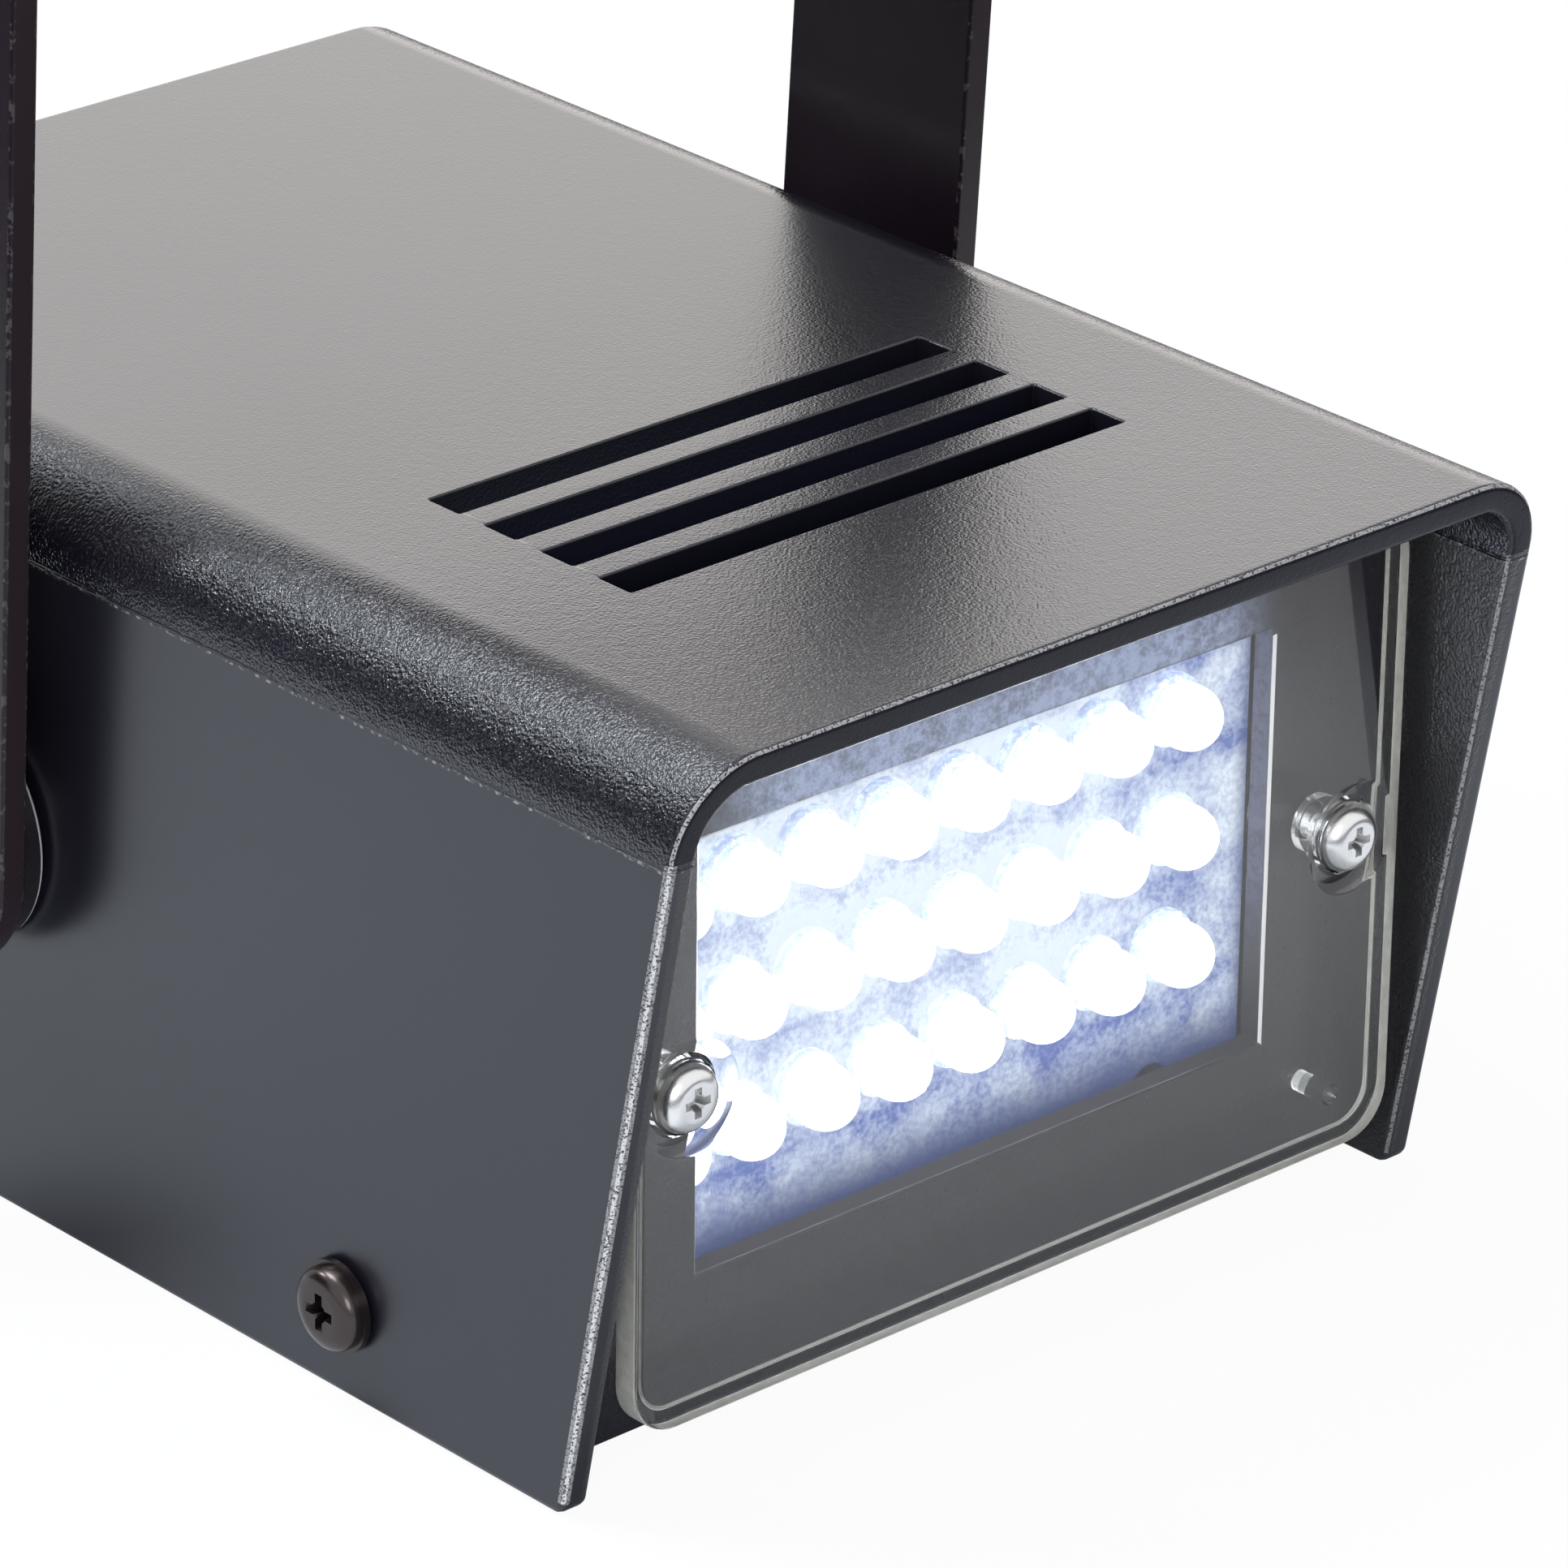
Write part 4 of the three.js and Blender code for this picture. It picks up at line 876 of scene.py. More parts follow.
class STROBE_OT_stage(bpy.types.Operator):
    """Adds the camera, lamps, white floor and surround"""

    bl_idname = "strobe.stage"
    bl_label = "Studio"
    bl_options = {"REGISTER", "UNDO"}

    def execute(self, context):
        scene = context.scene
        studio = scene.strobe_studio
        settle()
        back, up = Vector(studio.camera_back), Vector(studio.camera_up)
        turn = Matrix([up.cross(back), up, back]).transposed().to_euler()
        bpy.ops.object.camera_add(location=studio.camera_place, rotation=turn)
        camera = bpy.context.object
        camera.name = "studio_camera"
        camera.data.sensor_width = SENSOR_WIDTH
        camera.data.lens = studio.focal
        camera.data.clip_start, camera.data.clip_end = 0.01, 50
        scene.camera = camera
        lamps = {
            "back_panel": ((0.869, 0.845, 0.548), (1.05, 1.04), studio.back_light, (1.0, 0.93, 0.86)),
            "side_panel": ((0.06, 0.87, 0.97), (0.55, 0.45), studio.side_light, (0.94, 0.98, 1.0)),
            "corner_lamp": ((-0.62, 0.83, 0.70), (0.09, 0.09), studio.corner_light, (0.93, 1.0, 0.97)),
            "top_panel": ((-0.35, 0.45, 1.15), (0.60, 0.60), studio.top_light, (0.97, 0.98, 1.0)),
            "front_panel": ((-0.70, -0.85, 0.45), (0.55, 0.42), studio.fill_light, (0.95, 0.98, 1.0)),
        }
        for name, (place, size, radiance, tone) in lamps.items():
            settle()
            bpy.ops.object.light_add(type="AREA", location=place, rotation=aimed(place, 0.04))
            lamp = bpy.context.object
            lamp.name = name
            lamp.visible_camera = False
            lamp.data.shape = "RECTANGLE"
            lamp.data.size, lamp.data.size_y = size
            lamp.data.energy = radiance * LAMP_WATTS * size[0] * size[1]
            lamp.data.color = tone
        self.surround(scene, studio)
        self.floor(studio)
        self.flag()
        settle()
        return {"FINISHED"}

    def surround(self, scene, studio):
        """Dim to the object and white to the camera, through the lens and in reflections."""
        world = bpy.data.worlds.new("Studio surround")
        world.use_nodes = True
        scene.world = world
        nodes = Nodes(world.node_tree)
        shade = world.node_tree.nodes["Background"]
        height = nodes.add("ShaderNodeSeparateXYZ", Vector=nodes.add("ShaderNodeTexCoord").outputs["Generated"])
        rising = nodes.ramp(height.outputs["Z"], 0.05, 0.80)
        room = nodes.blend(rising, (0.40, 0.38, 0.50, 1), (0.95, 0.97, 1.0, 1))
        nodes.feed_all(shade, Color=room, Strength=studio.surround)
        white = nodes.add("ShaderNodeBackground", Color=WHITE, Strength=1.0)
        last = nodes.mixed(nodes.seen("Camera", "Transmission", "Glossy"), shade, white)
        nodes.feed(world.node_tree.nodes["World Output"], "Surface", last.outputs[0])

    def flag(self):
        """A black card beside the object that only its reflections show."""
        settle()
        place = (-0.82, 0.80, 0.25)
        bpy.ops.mesh.primitive_plane_add(size=1, location=place, rotation=aimed(place, 0.05))
        card = named("studio_flag")
        card.scale = (0.90, 0.50, 1)
        baked_place()
        black = surface("Black card", Base_Color=(0.01, 0.01, 0.01, 1), Roughness=0.9, Specular_IOR_Level=0.0)[0]
        card.data.materials.append(black)
        for ray in ("camera", "diffuse", "transmission", "shadow", "volume_scatter"):
            setattr(card, f"visible_{ray}", False)

    def floor(self, studio):
        """Paper that the camera sees white with a faint shadow, and reflections see dim in the distance."""
        settle()
        bpy.ops.mesh.primitive_plane_add(size=8, location=(0, 0, -0.05 * MM))
        floor = named("studio_floor")
        baked_place()
        material, nodes, shader = surface("Studio floor", Roughness=0.9, Specular_IOR_Level=0.0)
        paper = nodes.blend(nodes.noise(40.0, 2.0), (0.92, 0.96, 1.0, 1), (0.95, 0.98, 1.0, 1))
        nodes.feed(shader, "Base Color", paper)
        white = nodes.add("ShaderNodeEmission", Color=WHITE, Strength=1.0)
        dusk = nodes.add("ShaderNodeEmission", Color=(0.19, 0.175, 0.22, 1), Strength=1.0)
        away = nodes.add("ShaderNodeVectorMath", {"operation": "DISTANCE"}, i0=nodes.place(), i1=(0, 0.02, 0))
        far = nodes.ramp(away.outputs["Value"], studio.floor_reach, studio.floor_reach * 1.35)
        dim = nodes.mixed(far * nodes.seen("Glossy"), shader, dusk)
        mix = nodes.mixed(nodes.seen("Camera", "Transmission") * (1.0 - studio.floor_shade), dim, white)
        nodes.feed(nodes.tree.nodes["Material Output"], "Surface", mix.outputs[0])
        floor.data.materials.append(material)


class STROBE_OT_cover(bpy.types.Operator):
    """Builds the case's cover with its hood, vent slots and nut pockets"""

    bl_idname = "strobe.cover"
    bl_label = "Cover"
    bl_options = {"REGISTER", "UNDO"}

    def execute(self, context):
        sizes = context.scene.strobe_sizes
        low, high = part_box("top_cover")
        half = high.x - sizes.draft
        lip, rear, top = low.y, high.y, high.z
        cover = add_box("top_cover_shell", (-half, lip - 4 * PAST, 0), (half, rear, top))
        round_edges(cover, sizes.corner, 14, level_at(top))
        edit(cover)
        choose("VERT", lambda p: near(p.z, 0))
        bpy.ops.transform.resize(value=(high.x / half, 1, 1), center_override=(0, 0, 0))
        choose("FACE", lambda c, n: n.z < -0.9 or abs(n.y) > 0.9)
        bpy.ops.mesh.delete(type="FACE")
        settle()
        apply(cover, "SOLIDIFY", thickness=sizes.side_wall, offset=-1, use_even_offset=True)
        edit(cover)
        choose("VERT", lambda p: p.z < 1 * MM)
        bpy.ops.transform.resize(value=(1, 1, 0), center_override=(0, 0, 0))
        choose("FACE", lambda c, n: n.z < -0.9 and near(c.z, top - sizes.side_wall))
        bpy.ops.transform.translate(value=(0, 0, sizes.side_wall - sizes.top_wall))
        self.cut_rake(sizes, lip, top)
        soften(cover, sizes.rim_round, 3, 40)
        self.nut_pockets(cover, half - sizes.side_wall)
        pivot = middle("captive_nut_left")
        reach = high.x + 10 * PAST
        drill(cover, ("x", STUD_HOLE, -reach, reach, (pivot.y, pivot.z), 32))
        for end in ("front", "rear"):
            at = middle(f"cover_screw_{end}_left")
            drill(cover, ("x", 1.65 * MM, -reach, reach, (at.y, at.z), 24))
        self.slots(cover, sizes, lip, rear, top)
        straight = top - sizes.corner

        # Shares of painted highlight, partly rubbing, along the cover's rounded rims, strongest on the left wall's
        # outer edge.
        def worn_and_glinting(c, n):
            if c.z < 1 * MM or (c.z > top - 0.4 * MM and lip + 4 * MM < c.y < rear - 4 * MM):
                return 0
            if n.y > 0.1:
                return 0.15
            crown = 0.45 < abs(n.y) < 0.88
            outer = n.x * c.x + n.z * (c.z - top / 2) > 0
            if c.z > straight:
                return 0.6 if crown and outer else 0
            if c.x > 0:
                return 0.4 if crown and not outer else 0
            return (1 if crown else 0.4) if outer else 0

        # The hood's front face takes the duller lip copy, painted shade.
        paint_two(cover, ("case_plastic", "case_lip"), lambda c, n: c.z > straight and n.y < -0.9)
        finish_piece(cover, "case_plastic", "case", "top_cover", 40, worn_and_glinting)
        settle()
        return {"FINISHED"}

    def cut_rake(self, sizes, lip, top):
        """In edit mode, cuts the front off along the rake, closes it and rounds its toes."""
        bpy.ops.mesh.select_all(action="SELECT")
        bpy.ops.mesh.bisect(
            plane_co=(0, lip, top), plane_no=(0, -top, -sizes.rake), clear_outer=True, use_fill=False
        )

        def on_rake(p):
            return abs((p.y - lip) * top + (p.z - top) * sizes.rake) < 1e-6

        choose("EDGE", lambda a, b: on_rake(a) and on_rake(b) and max(a.z, b.z) > 0.1 * MM)
        bpy.ops.mesh.bridge_edge_loops()
        bpy.ops.mesh.select_all(action="SELECT")
        bpy.ops.mesh.normals_make_consistent(inside=False)
        toe = sizes.toe * math.tan((QUARTER - math.atan(sizes.rake / top)) / 2)
        choose("EDGE", lambda a, b: near(a.z, 0) and near(b.z, 0) and on_rake(a) and on_rake(b))
        bpy.ops.mesh.bevel(offset=toe, segments=5, affect="EDGES")
        settle()

    def nut_pockets(self, cover, inner):
        """Round bosses inside the walls with six-sided pockets for the nuts."""
        low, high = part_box("captive_nut_left")
        at = ((low.y + high.y) / 2, (low.z + high.z) / 2)
        corner = ((high.y - low.y) / 2 + 0.3 * MM) / math.cos(math.pi / 6)
        for side in SIDES.values():
            ends = sorted((side * (inner - 4.3 * MM), side * (inner + 1.2 * MM)))
            combine(cover, "UNION", add_rod("x", corner + 1.6 * MM, *ends, at, 40))
            ends = sorted((side * (inner - 5.3 * MM), side * (inner + 0.05 * MM)))
            drill(cover, ("x", corner, *ends, at, 6))

    def slots(self, cover, sizes, lip, rear, top):
        """Cuts the vent slots and rounds their rims."""
        across = sizes.slot_length / 2
        for index in range(sizes.slot_count):
            back = rear - sizes.slot_from_rear - index * sizes.slot_pitch
            slot = add_box("slot", (-across, back - sizes.slot_width, top - 6 * MM), (across, back, top + 2 * PAST))
            round_edges(slot, 0.15 * MM, 2, upright)
            combine(cover, "DIFFERENCE", slot)

        def on_rim(a, b):
            flat = near(a.z, top) and near(b.z, top)
            return flat and max(abs(a.x), abs(b.x)) < across + 1 * MM and min(a.y, b.y) > lip + 4 * MM

        round_edges(cover, 0.2 * MM, 3, on_rim)


class STROBE_OT_chassis(bpy.types.Operator):
    """Builds the floor, the front panel with its lamp window and the rear panel"""

    bl_idname = "strobe.chassis"
    bl_label = "Chassis"
    bl_options = {"REGISTER", "UNDO"}

    def panel(self, name, half, front, back, low, top, corner, widen):
        """A plate that fills the cover's section: round at the top and wider at its foot."""
        plate = add_box(name, (-half, front, low), (half, back, top))
        round_edges(plate, corner, 10, level_at(top))
        edit(plate)
        choose("VERT", lambda p: near(p.z, low))
        bpy.ops.transform.resize(value=(widen, 1, 1), center_override=(0, 0, low))
        settle()
        return plate

    def fixings(self, half, front, board_face, ground):
        """The solid bosses, posts, lugs and standoffs, and the bores for their screws."""
        solids, holes = [], []
        lens, right, left = (middle(name) for name in ("lens_screw_right", *BOARD_SCREWS))
        start = board_face - 1.1 * MM
        board_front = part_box("led_board")[0].y
        for side in SIDES.values():
            at = (side * lens.x, lens.z)
            solids.append(add_rod("y", 3 * MM, start, board_face + 1.6 * MM, at, 32))
            holes.append(add_rod("y", 1.45 * MM, front - PAST, front + 5 * MM, at, 20))
            for height in (right.z, left.z):
                at = (side * right.x, height)
                solids.append(add_rod("y", 2 * MM, start, board_front - 0.3 * MM, at, 28))
                holes.append(add_rod("y", SMALL_BORE, board_face, board_front, at, 16))
            for end in ("front", "rear"):
                at = middle(f"cover_screw_{end}_left")
                xs = sorted((side * (half - 6.5 * MM), side * half))
                low, high = (xs[0], at.y - 4 * MM, ground - PAST), (xs[1], at.y + 4 * MM, ground + 6.6 * MM)
                solids.append(add_box("lug", low, high))
                holes.append(add_rod("x", 1.5 * MM, xs[0] - PAST, xs[1] + PAST, (at.y, at.z), 20))
        low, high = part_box("driver_board")
        for x in (low.x + 3.6 * MM, high.x - 3.6 * MM):
            for y in (low.y + 3.6 * MM, high.y - 3.6 * MM):
                solids.append(add_rod("z", 2.6 * MM, ground - PAST, low.z - 0.3 * MM, (x, y), 28))
                holes.append(add_rod("z", SMALL_BORE, ground, low.z, (x, y), 16))
        return solids, holes

    def execute(self, context):
        sizes = context.scene.strobe_sizes
        low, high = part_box("base_chassis")
        front, rear = low.y, high.y
        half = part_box("top_cover")[1].x - sizes.draft - sizes.side_wall - 0.3 * MM
        section = (low.z, high.z, sizes.corner - sizes.side_wall - 0.3 * MM, high.x / half)
        chassis = self.panel("base_chassis_moulding", half, front, front + sizes.panel, *section)
        wide, sill, head = window_opening()
        window = add_box("window", (-wide, front - 2 * PAST, sill), (wide, front + 6 * MM, head))
        combine(chassis, "DIFFERENCE", window)

        def in_window(p):
            return abs(p.x) < wide + NEARLY and sill - NEARLY < p.z < head + NEARLY

        round_edges(chassis, 0.2 * MM, 1, lambda a, b: near(a.y, b.y) and in_window(a) and in_window(b))
        back = self.panel("rear", half, rear - sizes.panel, rear, *section)
        ground = low.z + 2.4 * MM
        floor = add_box("floor", (-half, front + 0.5 * MM, low.z), (half, rear - 0.5 * MM, ground))
        combine(chassis, "UNION", back, floor)
        solids, holes = self.fixings(half, front, front + sizes.panel, ground)
        for node, radius in (("potentiometer_nut", 3.8 * MM), ("inlet_grommet", 5.3 * MM)):
            at = middle(node)
            holes.append(add_rod("y", radius, rear - 4 * MM, rear + PAST, (at.x, at.z), 32))
        combine(chassis, "UNION", *solids)
        combine(chassis, "DIFFERENCE", *holes)
        soften(chassis, 0.12 * MM, 1, 50)

        # A painted highlight line down the lamp window's upright front edges.
        def worn_and_glinting(c, n):
            return abs(abs(c.x) - wide) < 0.25 * MM and c.y < front + 0.3 * MM and sill < c.z < head

        finish_piece(chassis, "chassis_plastic", "case", "base_chassis", worn_and_glinting=worn_and_glinting)
        settle()
        return {"FINISHED"}


class STROBE_OT_lens(bpy.types.Operator):
    """Builds the clear lens with its rim, screw cups, tubes and pegs"""

    bl_idname = "strobe.lens"
    bl_label = "Lens"
    bl_options = {"REGISTER", "UNDO"}

    def execute(self, context):
        sizes = context.scene.strobe_sizes
        low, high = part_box("lens_cover")
        front, feet = low.y, high.y
        rim = 2.2 * MM
        lens = add_box("lens_clear", (low.x, front, low.z), (high.x, front + rim, high.z))
        round_edges(lens, sizes.lens_corner, 10, endwise)
        edit(lens)
        choose("FACE", lambda c, n: n.y > 0.9)
        bpy.ops.mesh.inset(thickness=sizes.lens_rim)
        bpy.ops.mesh.extrude_region_move(TRANSFORM_OT_translate={"value": (0, sizes.lens_plate - rim, 0)})
        settle()
        soften(lens, 0.25 * MM, 3, 40)
        cup, cup_depth = sizes.cup, sizes.cup_depth
        screw = middle("lens_screw_right")
        tall = feet - front - sizes.lens_plate
        tube = [
            (2.35 * MM, 0), (2.35 * MM, tall - 1.3 * MM), (3.3 * MM, tall - 0.7 * MM), (3.3 * MM, tall + 0.2 * MM),
        ]
        dish = [
            (2.85 * MM, 0), (2.85 * MM, 0.75 * cup_depth), (cup - 1.1 * MM, 0.8 * cup_depth),
            (cup - 0.3 * MM, 0.92 * cup_depth), (cup, cup_depth), (cup + 0.1 * MM, 1.2 * cup_depth),
        ]
        solids, holes = [], []
        for side in SIDES.values():
            at = (side * screw.x, screw.z)
            solids.append(set_down(add_turned("tube", tube), (at[0], feet, at[1]), "front"))
            peg_at = (side * (high.x - 5.4 * MM), low.z + 4.25 * MM if side > 0 else high.z - 4.25 * MM)
            solids.append(add_rod("y", 0.85 * MM, front + 0.8 * MM, feet, peg_at, 24))
            holes.append(set_down(add_turned("dish", dish, 64), (at[0], front + cup_depth, at[1]), "front"))
            holes.append(add_rod("y", 1.6 * MM, front + cup_depth - 0.2 * MM, feet + PAST, at, 32))
        combine(lens, "UNION", *solids)
        combine(lens, "DIFFERENCE", *holes)
        centre = (low.z + high.z) / 2
        tall = high.z - centre
        round_x, round_z = high.x - sizes.lens_corner, tall - sizes.lens_corner

        def on_edge(c, n):
            if c.y > front + rim - 0.1 * MM or abs(n.y) > 0.35:
                return False
            x, z = abs(c.x), abs(c.z - centre)
            if x > high.x - 0.4 * MM or z > tall - 0.4 * MM:
                return True
            return x > round_x and z > round_z and math.hypot(x - round_x, z - round_z) > 0.8 * sizes.lens_corner

        paint_two(lens, ("clear_plastic", "lens_edge"), on_edge)
        finish_piece(lens, "clear_plastic", "case", "lens_cover")
        settle()
        return {"FINISHED"}


class STROBE_OT_leds(bpy.types.Operator):
    """Builds the field of LEDs and the board that they stand on"""

    bl_idname = "strobe.leds"
    bl_label = "LEDs"
    bl_options = {"REGISTER", "UNDO"}

    def execute(self, context):
        radius = context.scene.strobe_sizes.led
        low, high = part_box("led_row1_col1")
        tall = high.y - low.y
        base, foot, step = tall - radius, 2.9 * MM, QUARTER / 8
        dome = [(radius * math.cos(i * step), base + radius * math.sin(i * step)) for i in range(8)]
        first = add_turned("led", [(foot, 0), (foot, 1 * MM), (radius, 1 * MM), *dome, (0, tall)], 32)
        round_edges(
            first, 0.15 * MM, 2, lambda a, b: near(a.z, 1 * MM) and near(b.z, 1 * MM) and near(a.xy.length, foot)
        )
        set_down(first, (0, high.y, 0), "front")
        for node in sorted(n for n in frame["nodes"] if n.startswith("led_row")):
            at = middle(node)
            finish_piece(copied(first, f"{node}_resin", (at.x, 0, at.z)), "led_resin", "case", node, 40)
        discard(first)
        low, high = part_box("led_board")
        board = add_box("led_board_laminate", low, high)
        round_edges(board, 0.8 * MM, 3, endwise)
        right, left = (middle(name) for name in BOARD_SCREWS)
        for side in SIDES.values():
            for height in (right.z, left.z):
                drill(board, ("y", 1.4 * MM, low.y - PAST, high.y + PAST, (side * right.x, height), 20))
        soften(board, 0.1 * MM, 2, 50)
        finish_piece(board, "white_board", "case", "led_board")
        settle()
        return {"FINISHED"}


class STROBE_OT_screws(bpy.types.Operator):
    """Builds the lens screws, the cover screws and the small board screws"""

    bl_idname = "strobe.screws"
    bl_label = "Screws"
    bl_options = {"REGISTER", "UNDO"}

    def screw(self, name, head, height, shank, reach, wings, washer=0):
        """A pan-head screw with a cross recess, its seat at Z 0 and its head above."""
        profile = [(shank * 0.45, -reach), (shank, -reach + shank)]
        thread = 0.0
        pitch = shank * 0.62
        while -reach + shank + thread + pitch < -0.6 * MM:
            start = -reach + shank + thread
            profile += [(shank * 0.8, start + pitch * 0.35), (shank, start + pitch * 0.8)]
            thread += pitch
        profile += [(shank, -0.4 * MM), (shank, 0)]
        if washer:
            rim = 0.5 * MM
            profile += [(washer, 0), (washer, rim), (head, rim)]
            shoulder = rim + 0.3 * (height - rim)
        else:
            profile += [(head, 0)]
            shoulder = 0.35 * height
        profile += [(head, shoulder)]
        for step in range(1, 6):
            angle = step * QUARTER / 5
            wide = head * (0.52 + 0.48 * math.cos(angle))
            profile.append((wide, shoulder + (height - shoulder) * math.sin(angle)))
        body = add_turned(name, profile, 40)
        half, width, depth = wings
        for turn in (0, QUARTER):
            wing = add_box("wing", (-half, -width, height - depth), (half, width, height + PAST))
            edit(wing)
            choose("FACE", lambda c, n: n.z < -0.9)
            bpy.ops.transform.resize(value=(0.5, 0.7, 1), center_override=(0, 0, height - depth))
            take(wing)
            wing.rotation_euler = (0, 0, turn)
            baked_place()
            combine(body, "DIFFERENCE", wing)
        core = add_turned("core", [(width * 0.6, height - depth * 1.15), (width * 2.3, height + 0.5 * MM)], 8)
        combine(body, "DIFFERENCE", core)
        return body

    def execute(self, context):
        lens = self.screw("lens_screw", 2.7 * MM, 2.3 * MM, 1.3 * MM, 9 * MM, (1.5 * MM, 0.375 * MM, 1.2 * MM))
        cover = self.screw(
            "cover_screw", 3.25 * MM, 1.9 * MM, 1.35 * MM, 8 * MM, (1.9 * MM, 0.45 * MM, 1.2 * MM), 3.6 * MM
        )
        board = self.screw("board_screw", 2.2 * MM, 1.5 * MM, 1.1 * MM, 5 * MM, (1.2 * MM, 0.3 * MM, 0.8 * MM))
        rows = [(f"lens_screw_{s}", lens, "front", "bright_steel") for s in SIDES]
        rows += [(f"cover_screw_{e}_{s}", cover, s, "black_steel") for e in ("front", "rear") for s in SIDES]
        rows += [(f"led_board_screw_{s}", board, "rear", "zinc_steel") for s in SIDES]
        rows += [(f"driver_board_screw_{s}", board, "up", "zinc_steel") for s in SIDES]
        for node, pattern, facing, slot in rows:
            at = middle(node)
            reach = -min(v.co.z for v in pattern.data.vertices)
            axis, end = TIP_END[facing]
            setattr(at, axis, getattr(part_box(node)[end], axis) + (-reach if end else reach))
            piece = set_down(copied(pattern, f"{node}_steel"), at, facing)
            finish_piece(piece, slot, "case", node)
        discard(lens, cover, board)
        settle()
        return {"FINISHED"}


class STROBE_OT_bracket(bpy.types.Operator):
    """Builds the bent steel bracket and its two spacers"""

    bl_idname = "strobe.bracket"
    bl_label = "Bracket"
    bl_options = {"REGISTER", "UNDO"}

    def execute(self, context):
        sizes = context.scene.strobe_sizes
        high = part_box("bracket")[1]
        pivot = joint_place("bracket_tilt")
        tilt = math.radians(3.3)
        half = sizes.strip_width / 2
        outer = high.x
        top = (high.z - pivot.z - half * math.sin(tilt)) / math.cos(tilt)
        bracket = add_box("bracket_strip", (-outer, -half, -half), (outer, half, top))
        round_edges(bracket, sizes.bend + sizes.strip, 10, level_at(top))
        edit(bracket)
        choose("FACE", lambda c, n: n.z < -0.9 or abs(n.y) > 0.9)
        bpy.ops.mesh.delete(type="FACE")
        settle()
        apply(bracket, "SOLIDIFY", thickness=sizes.strip, offset=-1, use_even_offset=True)
        edit(bracket)
        choose("EDGE", lambda a, b: near(a.z, -half) and near(b.z, -half) and near(a.y, b.y))
        bpy.ops.mesh.bevel(offset=half * 0.9999, segments=20, affect="EDGES")
        bpy.ops.mesh.select_all(action="SELECT")
        bpy.ops.mesh.remove_doubles(threshold=NEARLY / 2)
        ahead = sizes.strip_forward
        reach = outer + 10 * PAST
        drill(bracket, ("x", STUD_HOLE, -reach, reach, (ahead, 0), 32))
        for x, radius in ((0, 4.25 * MM), (-24 * MM, 2.2 * MM), (24 * MM, 2.2 * MM)):
            drill(bracket, ("z", radius, top - 6 * MM, top + 2 * PAST, (x, 0), 40))
        soften(bracket, 0.3 * MM, 3, 50)
        mark_cut_edges(bracket, top - sizes.bend - sizes.strip)
        take(bracket)
        bracket.rotation_euler = (tilt, 0, 0)
        bracket.location = pivot + Vector((0, -ahead * math.cos(tilt), -ahead * math.sin(tilt)))
        baked_place()
        finish_piece(bracket, "black_paint", "bracket", "bracket")
        low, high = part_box("bracket_spacer_right")
        thick, wide = high.x - low.x, (high.y - low.y) / 2
        ring = [(STUD_HOLE, 0), (wide, 0), (wide, thick), (STUD_HOLE, thick)]
        spacer = add_turned("spacer", ring, 56, ring=True)
        soften(spacer, 0.35 * MM, 3, 50)
        for name, side in SIDES.items():
            node = f"bracket_spacer_{name}"
            piece = set_down(copied(spacer, f"{node}_rubber"), (side * low.x, pivot.y, pivot.z), name)
            # A painted highlight arc on each spacer's edge against the case.
            finish_piece(
                piece, "black_rubber", "case", node, worn_and_glinting=lambda c, n: abs(c.x) < low.x + 0.4 * MM and abs(n.x) < 0.9
            )
        discard(spacer)
        settle()
        return {"FINISHED"}


def add_nut(flats, thick, hole, reach, sides, width):
    """A six-sided nut about Z with its seat at Z 0; its hole's cutter reaches to a height."""
    nut = add_rod("z", flats / math.sqrt(3), 0, thick, (0, 0), 6)
    drill(nut, ("z", hole, -PAST, reach, (0, 0), sides))
    soften(nut, width, 2, 40)
    return nut


def flute(knob, count, turn, ring, radius, low, high, sides):
    """Cuts grooves round a knob, the first at a turn from X."""
    for index in range(count):
        angle = (index + turn) * 2 * math.pi / count
        drill(knob, ("z", radius, low, high, (ring * math.cos(angle), ring * math.sin(angle)), sides))


class STROBE_OT_thumb_screws(bpy.types.Operator):
    """Builds the two fluted thumb screws and the nuts that they clamp into"""

    bl_idname = "strobe.thumb_screws"
    bl_label = "Thumb screws"
    bl_options = {"REGISTER", "UNDO"}

    def execute(self, context):
        low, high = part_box("thumb_screw_right")
        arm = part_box("bracket")[1].x
        tip, top = low.x - arm, high.x - arm
        stud, neck, grip, hub = 1.95 * MM, 5.5 * MM, 9 * MM, 2.3 * MM
        knob = add_turned("thumb", [
            (1.5 * MM, tip), (stud, tip + 0.5 * MM), (stud, 0.3 * MM), (neck, 0.3 * MM), (neck, hub),
            (grip - 1 * MM, hub), (grip, hub + 1 * MM), (grip, top - 1 * MM), (grip - 1 * MM, top),
            (5.2 * MM, top), (4.6 * MM, top - 0.7 * MM),
        ], 72)
        flute(knob, 8, 0, 10.1 * MM, 2.2 * MM, hub - PAST, top + PAST, 28)
        soften(knob, 0.3 * MM, 2, 42)
        paint_two(
            knob, ("black_moulding", "zinc_steel"), lambda c, n: c.z < 0.25 * MM and c.xy.length < 2.1 * MM
        )
        pivot = joint_place("bracket_tilt")
        low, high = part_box("captive_nut_right")
        nut = add_nut(7 * MM, high.x - low.x, 2.1 * MM, 6 * MM, 28, 0.25 * MM)
        for name, side in SIDES.items():
            node = f"thumb_screw_{name}"
            piece = set_down(copied(knob, f"{node}_grip"), (side * arm, pivot.y, pivot.z), name)
            finish_piece(piece, "black_moulding", node, node, worn_and_glinting=plain_edges)
            piece.visible_glossy = False
            node = f"captive_nut_{name}"
            piece = set_down(copied(nut, f"{node}_steel"), (side * low.x, pivot.y, pivot.z), name)
            finish_piece(piece, "zinc_steel", "case", node)
        discard(knob, nut)
        settle()
        return {"FINISHED"}


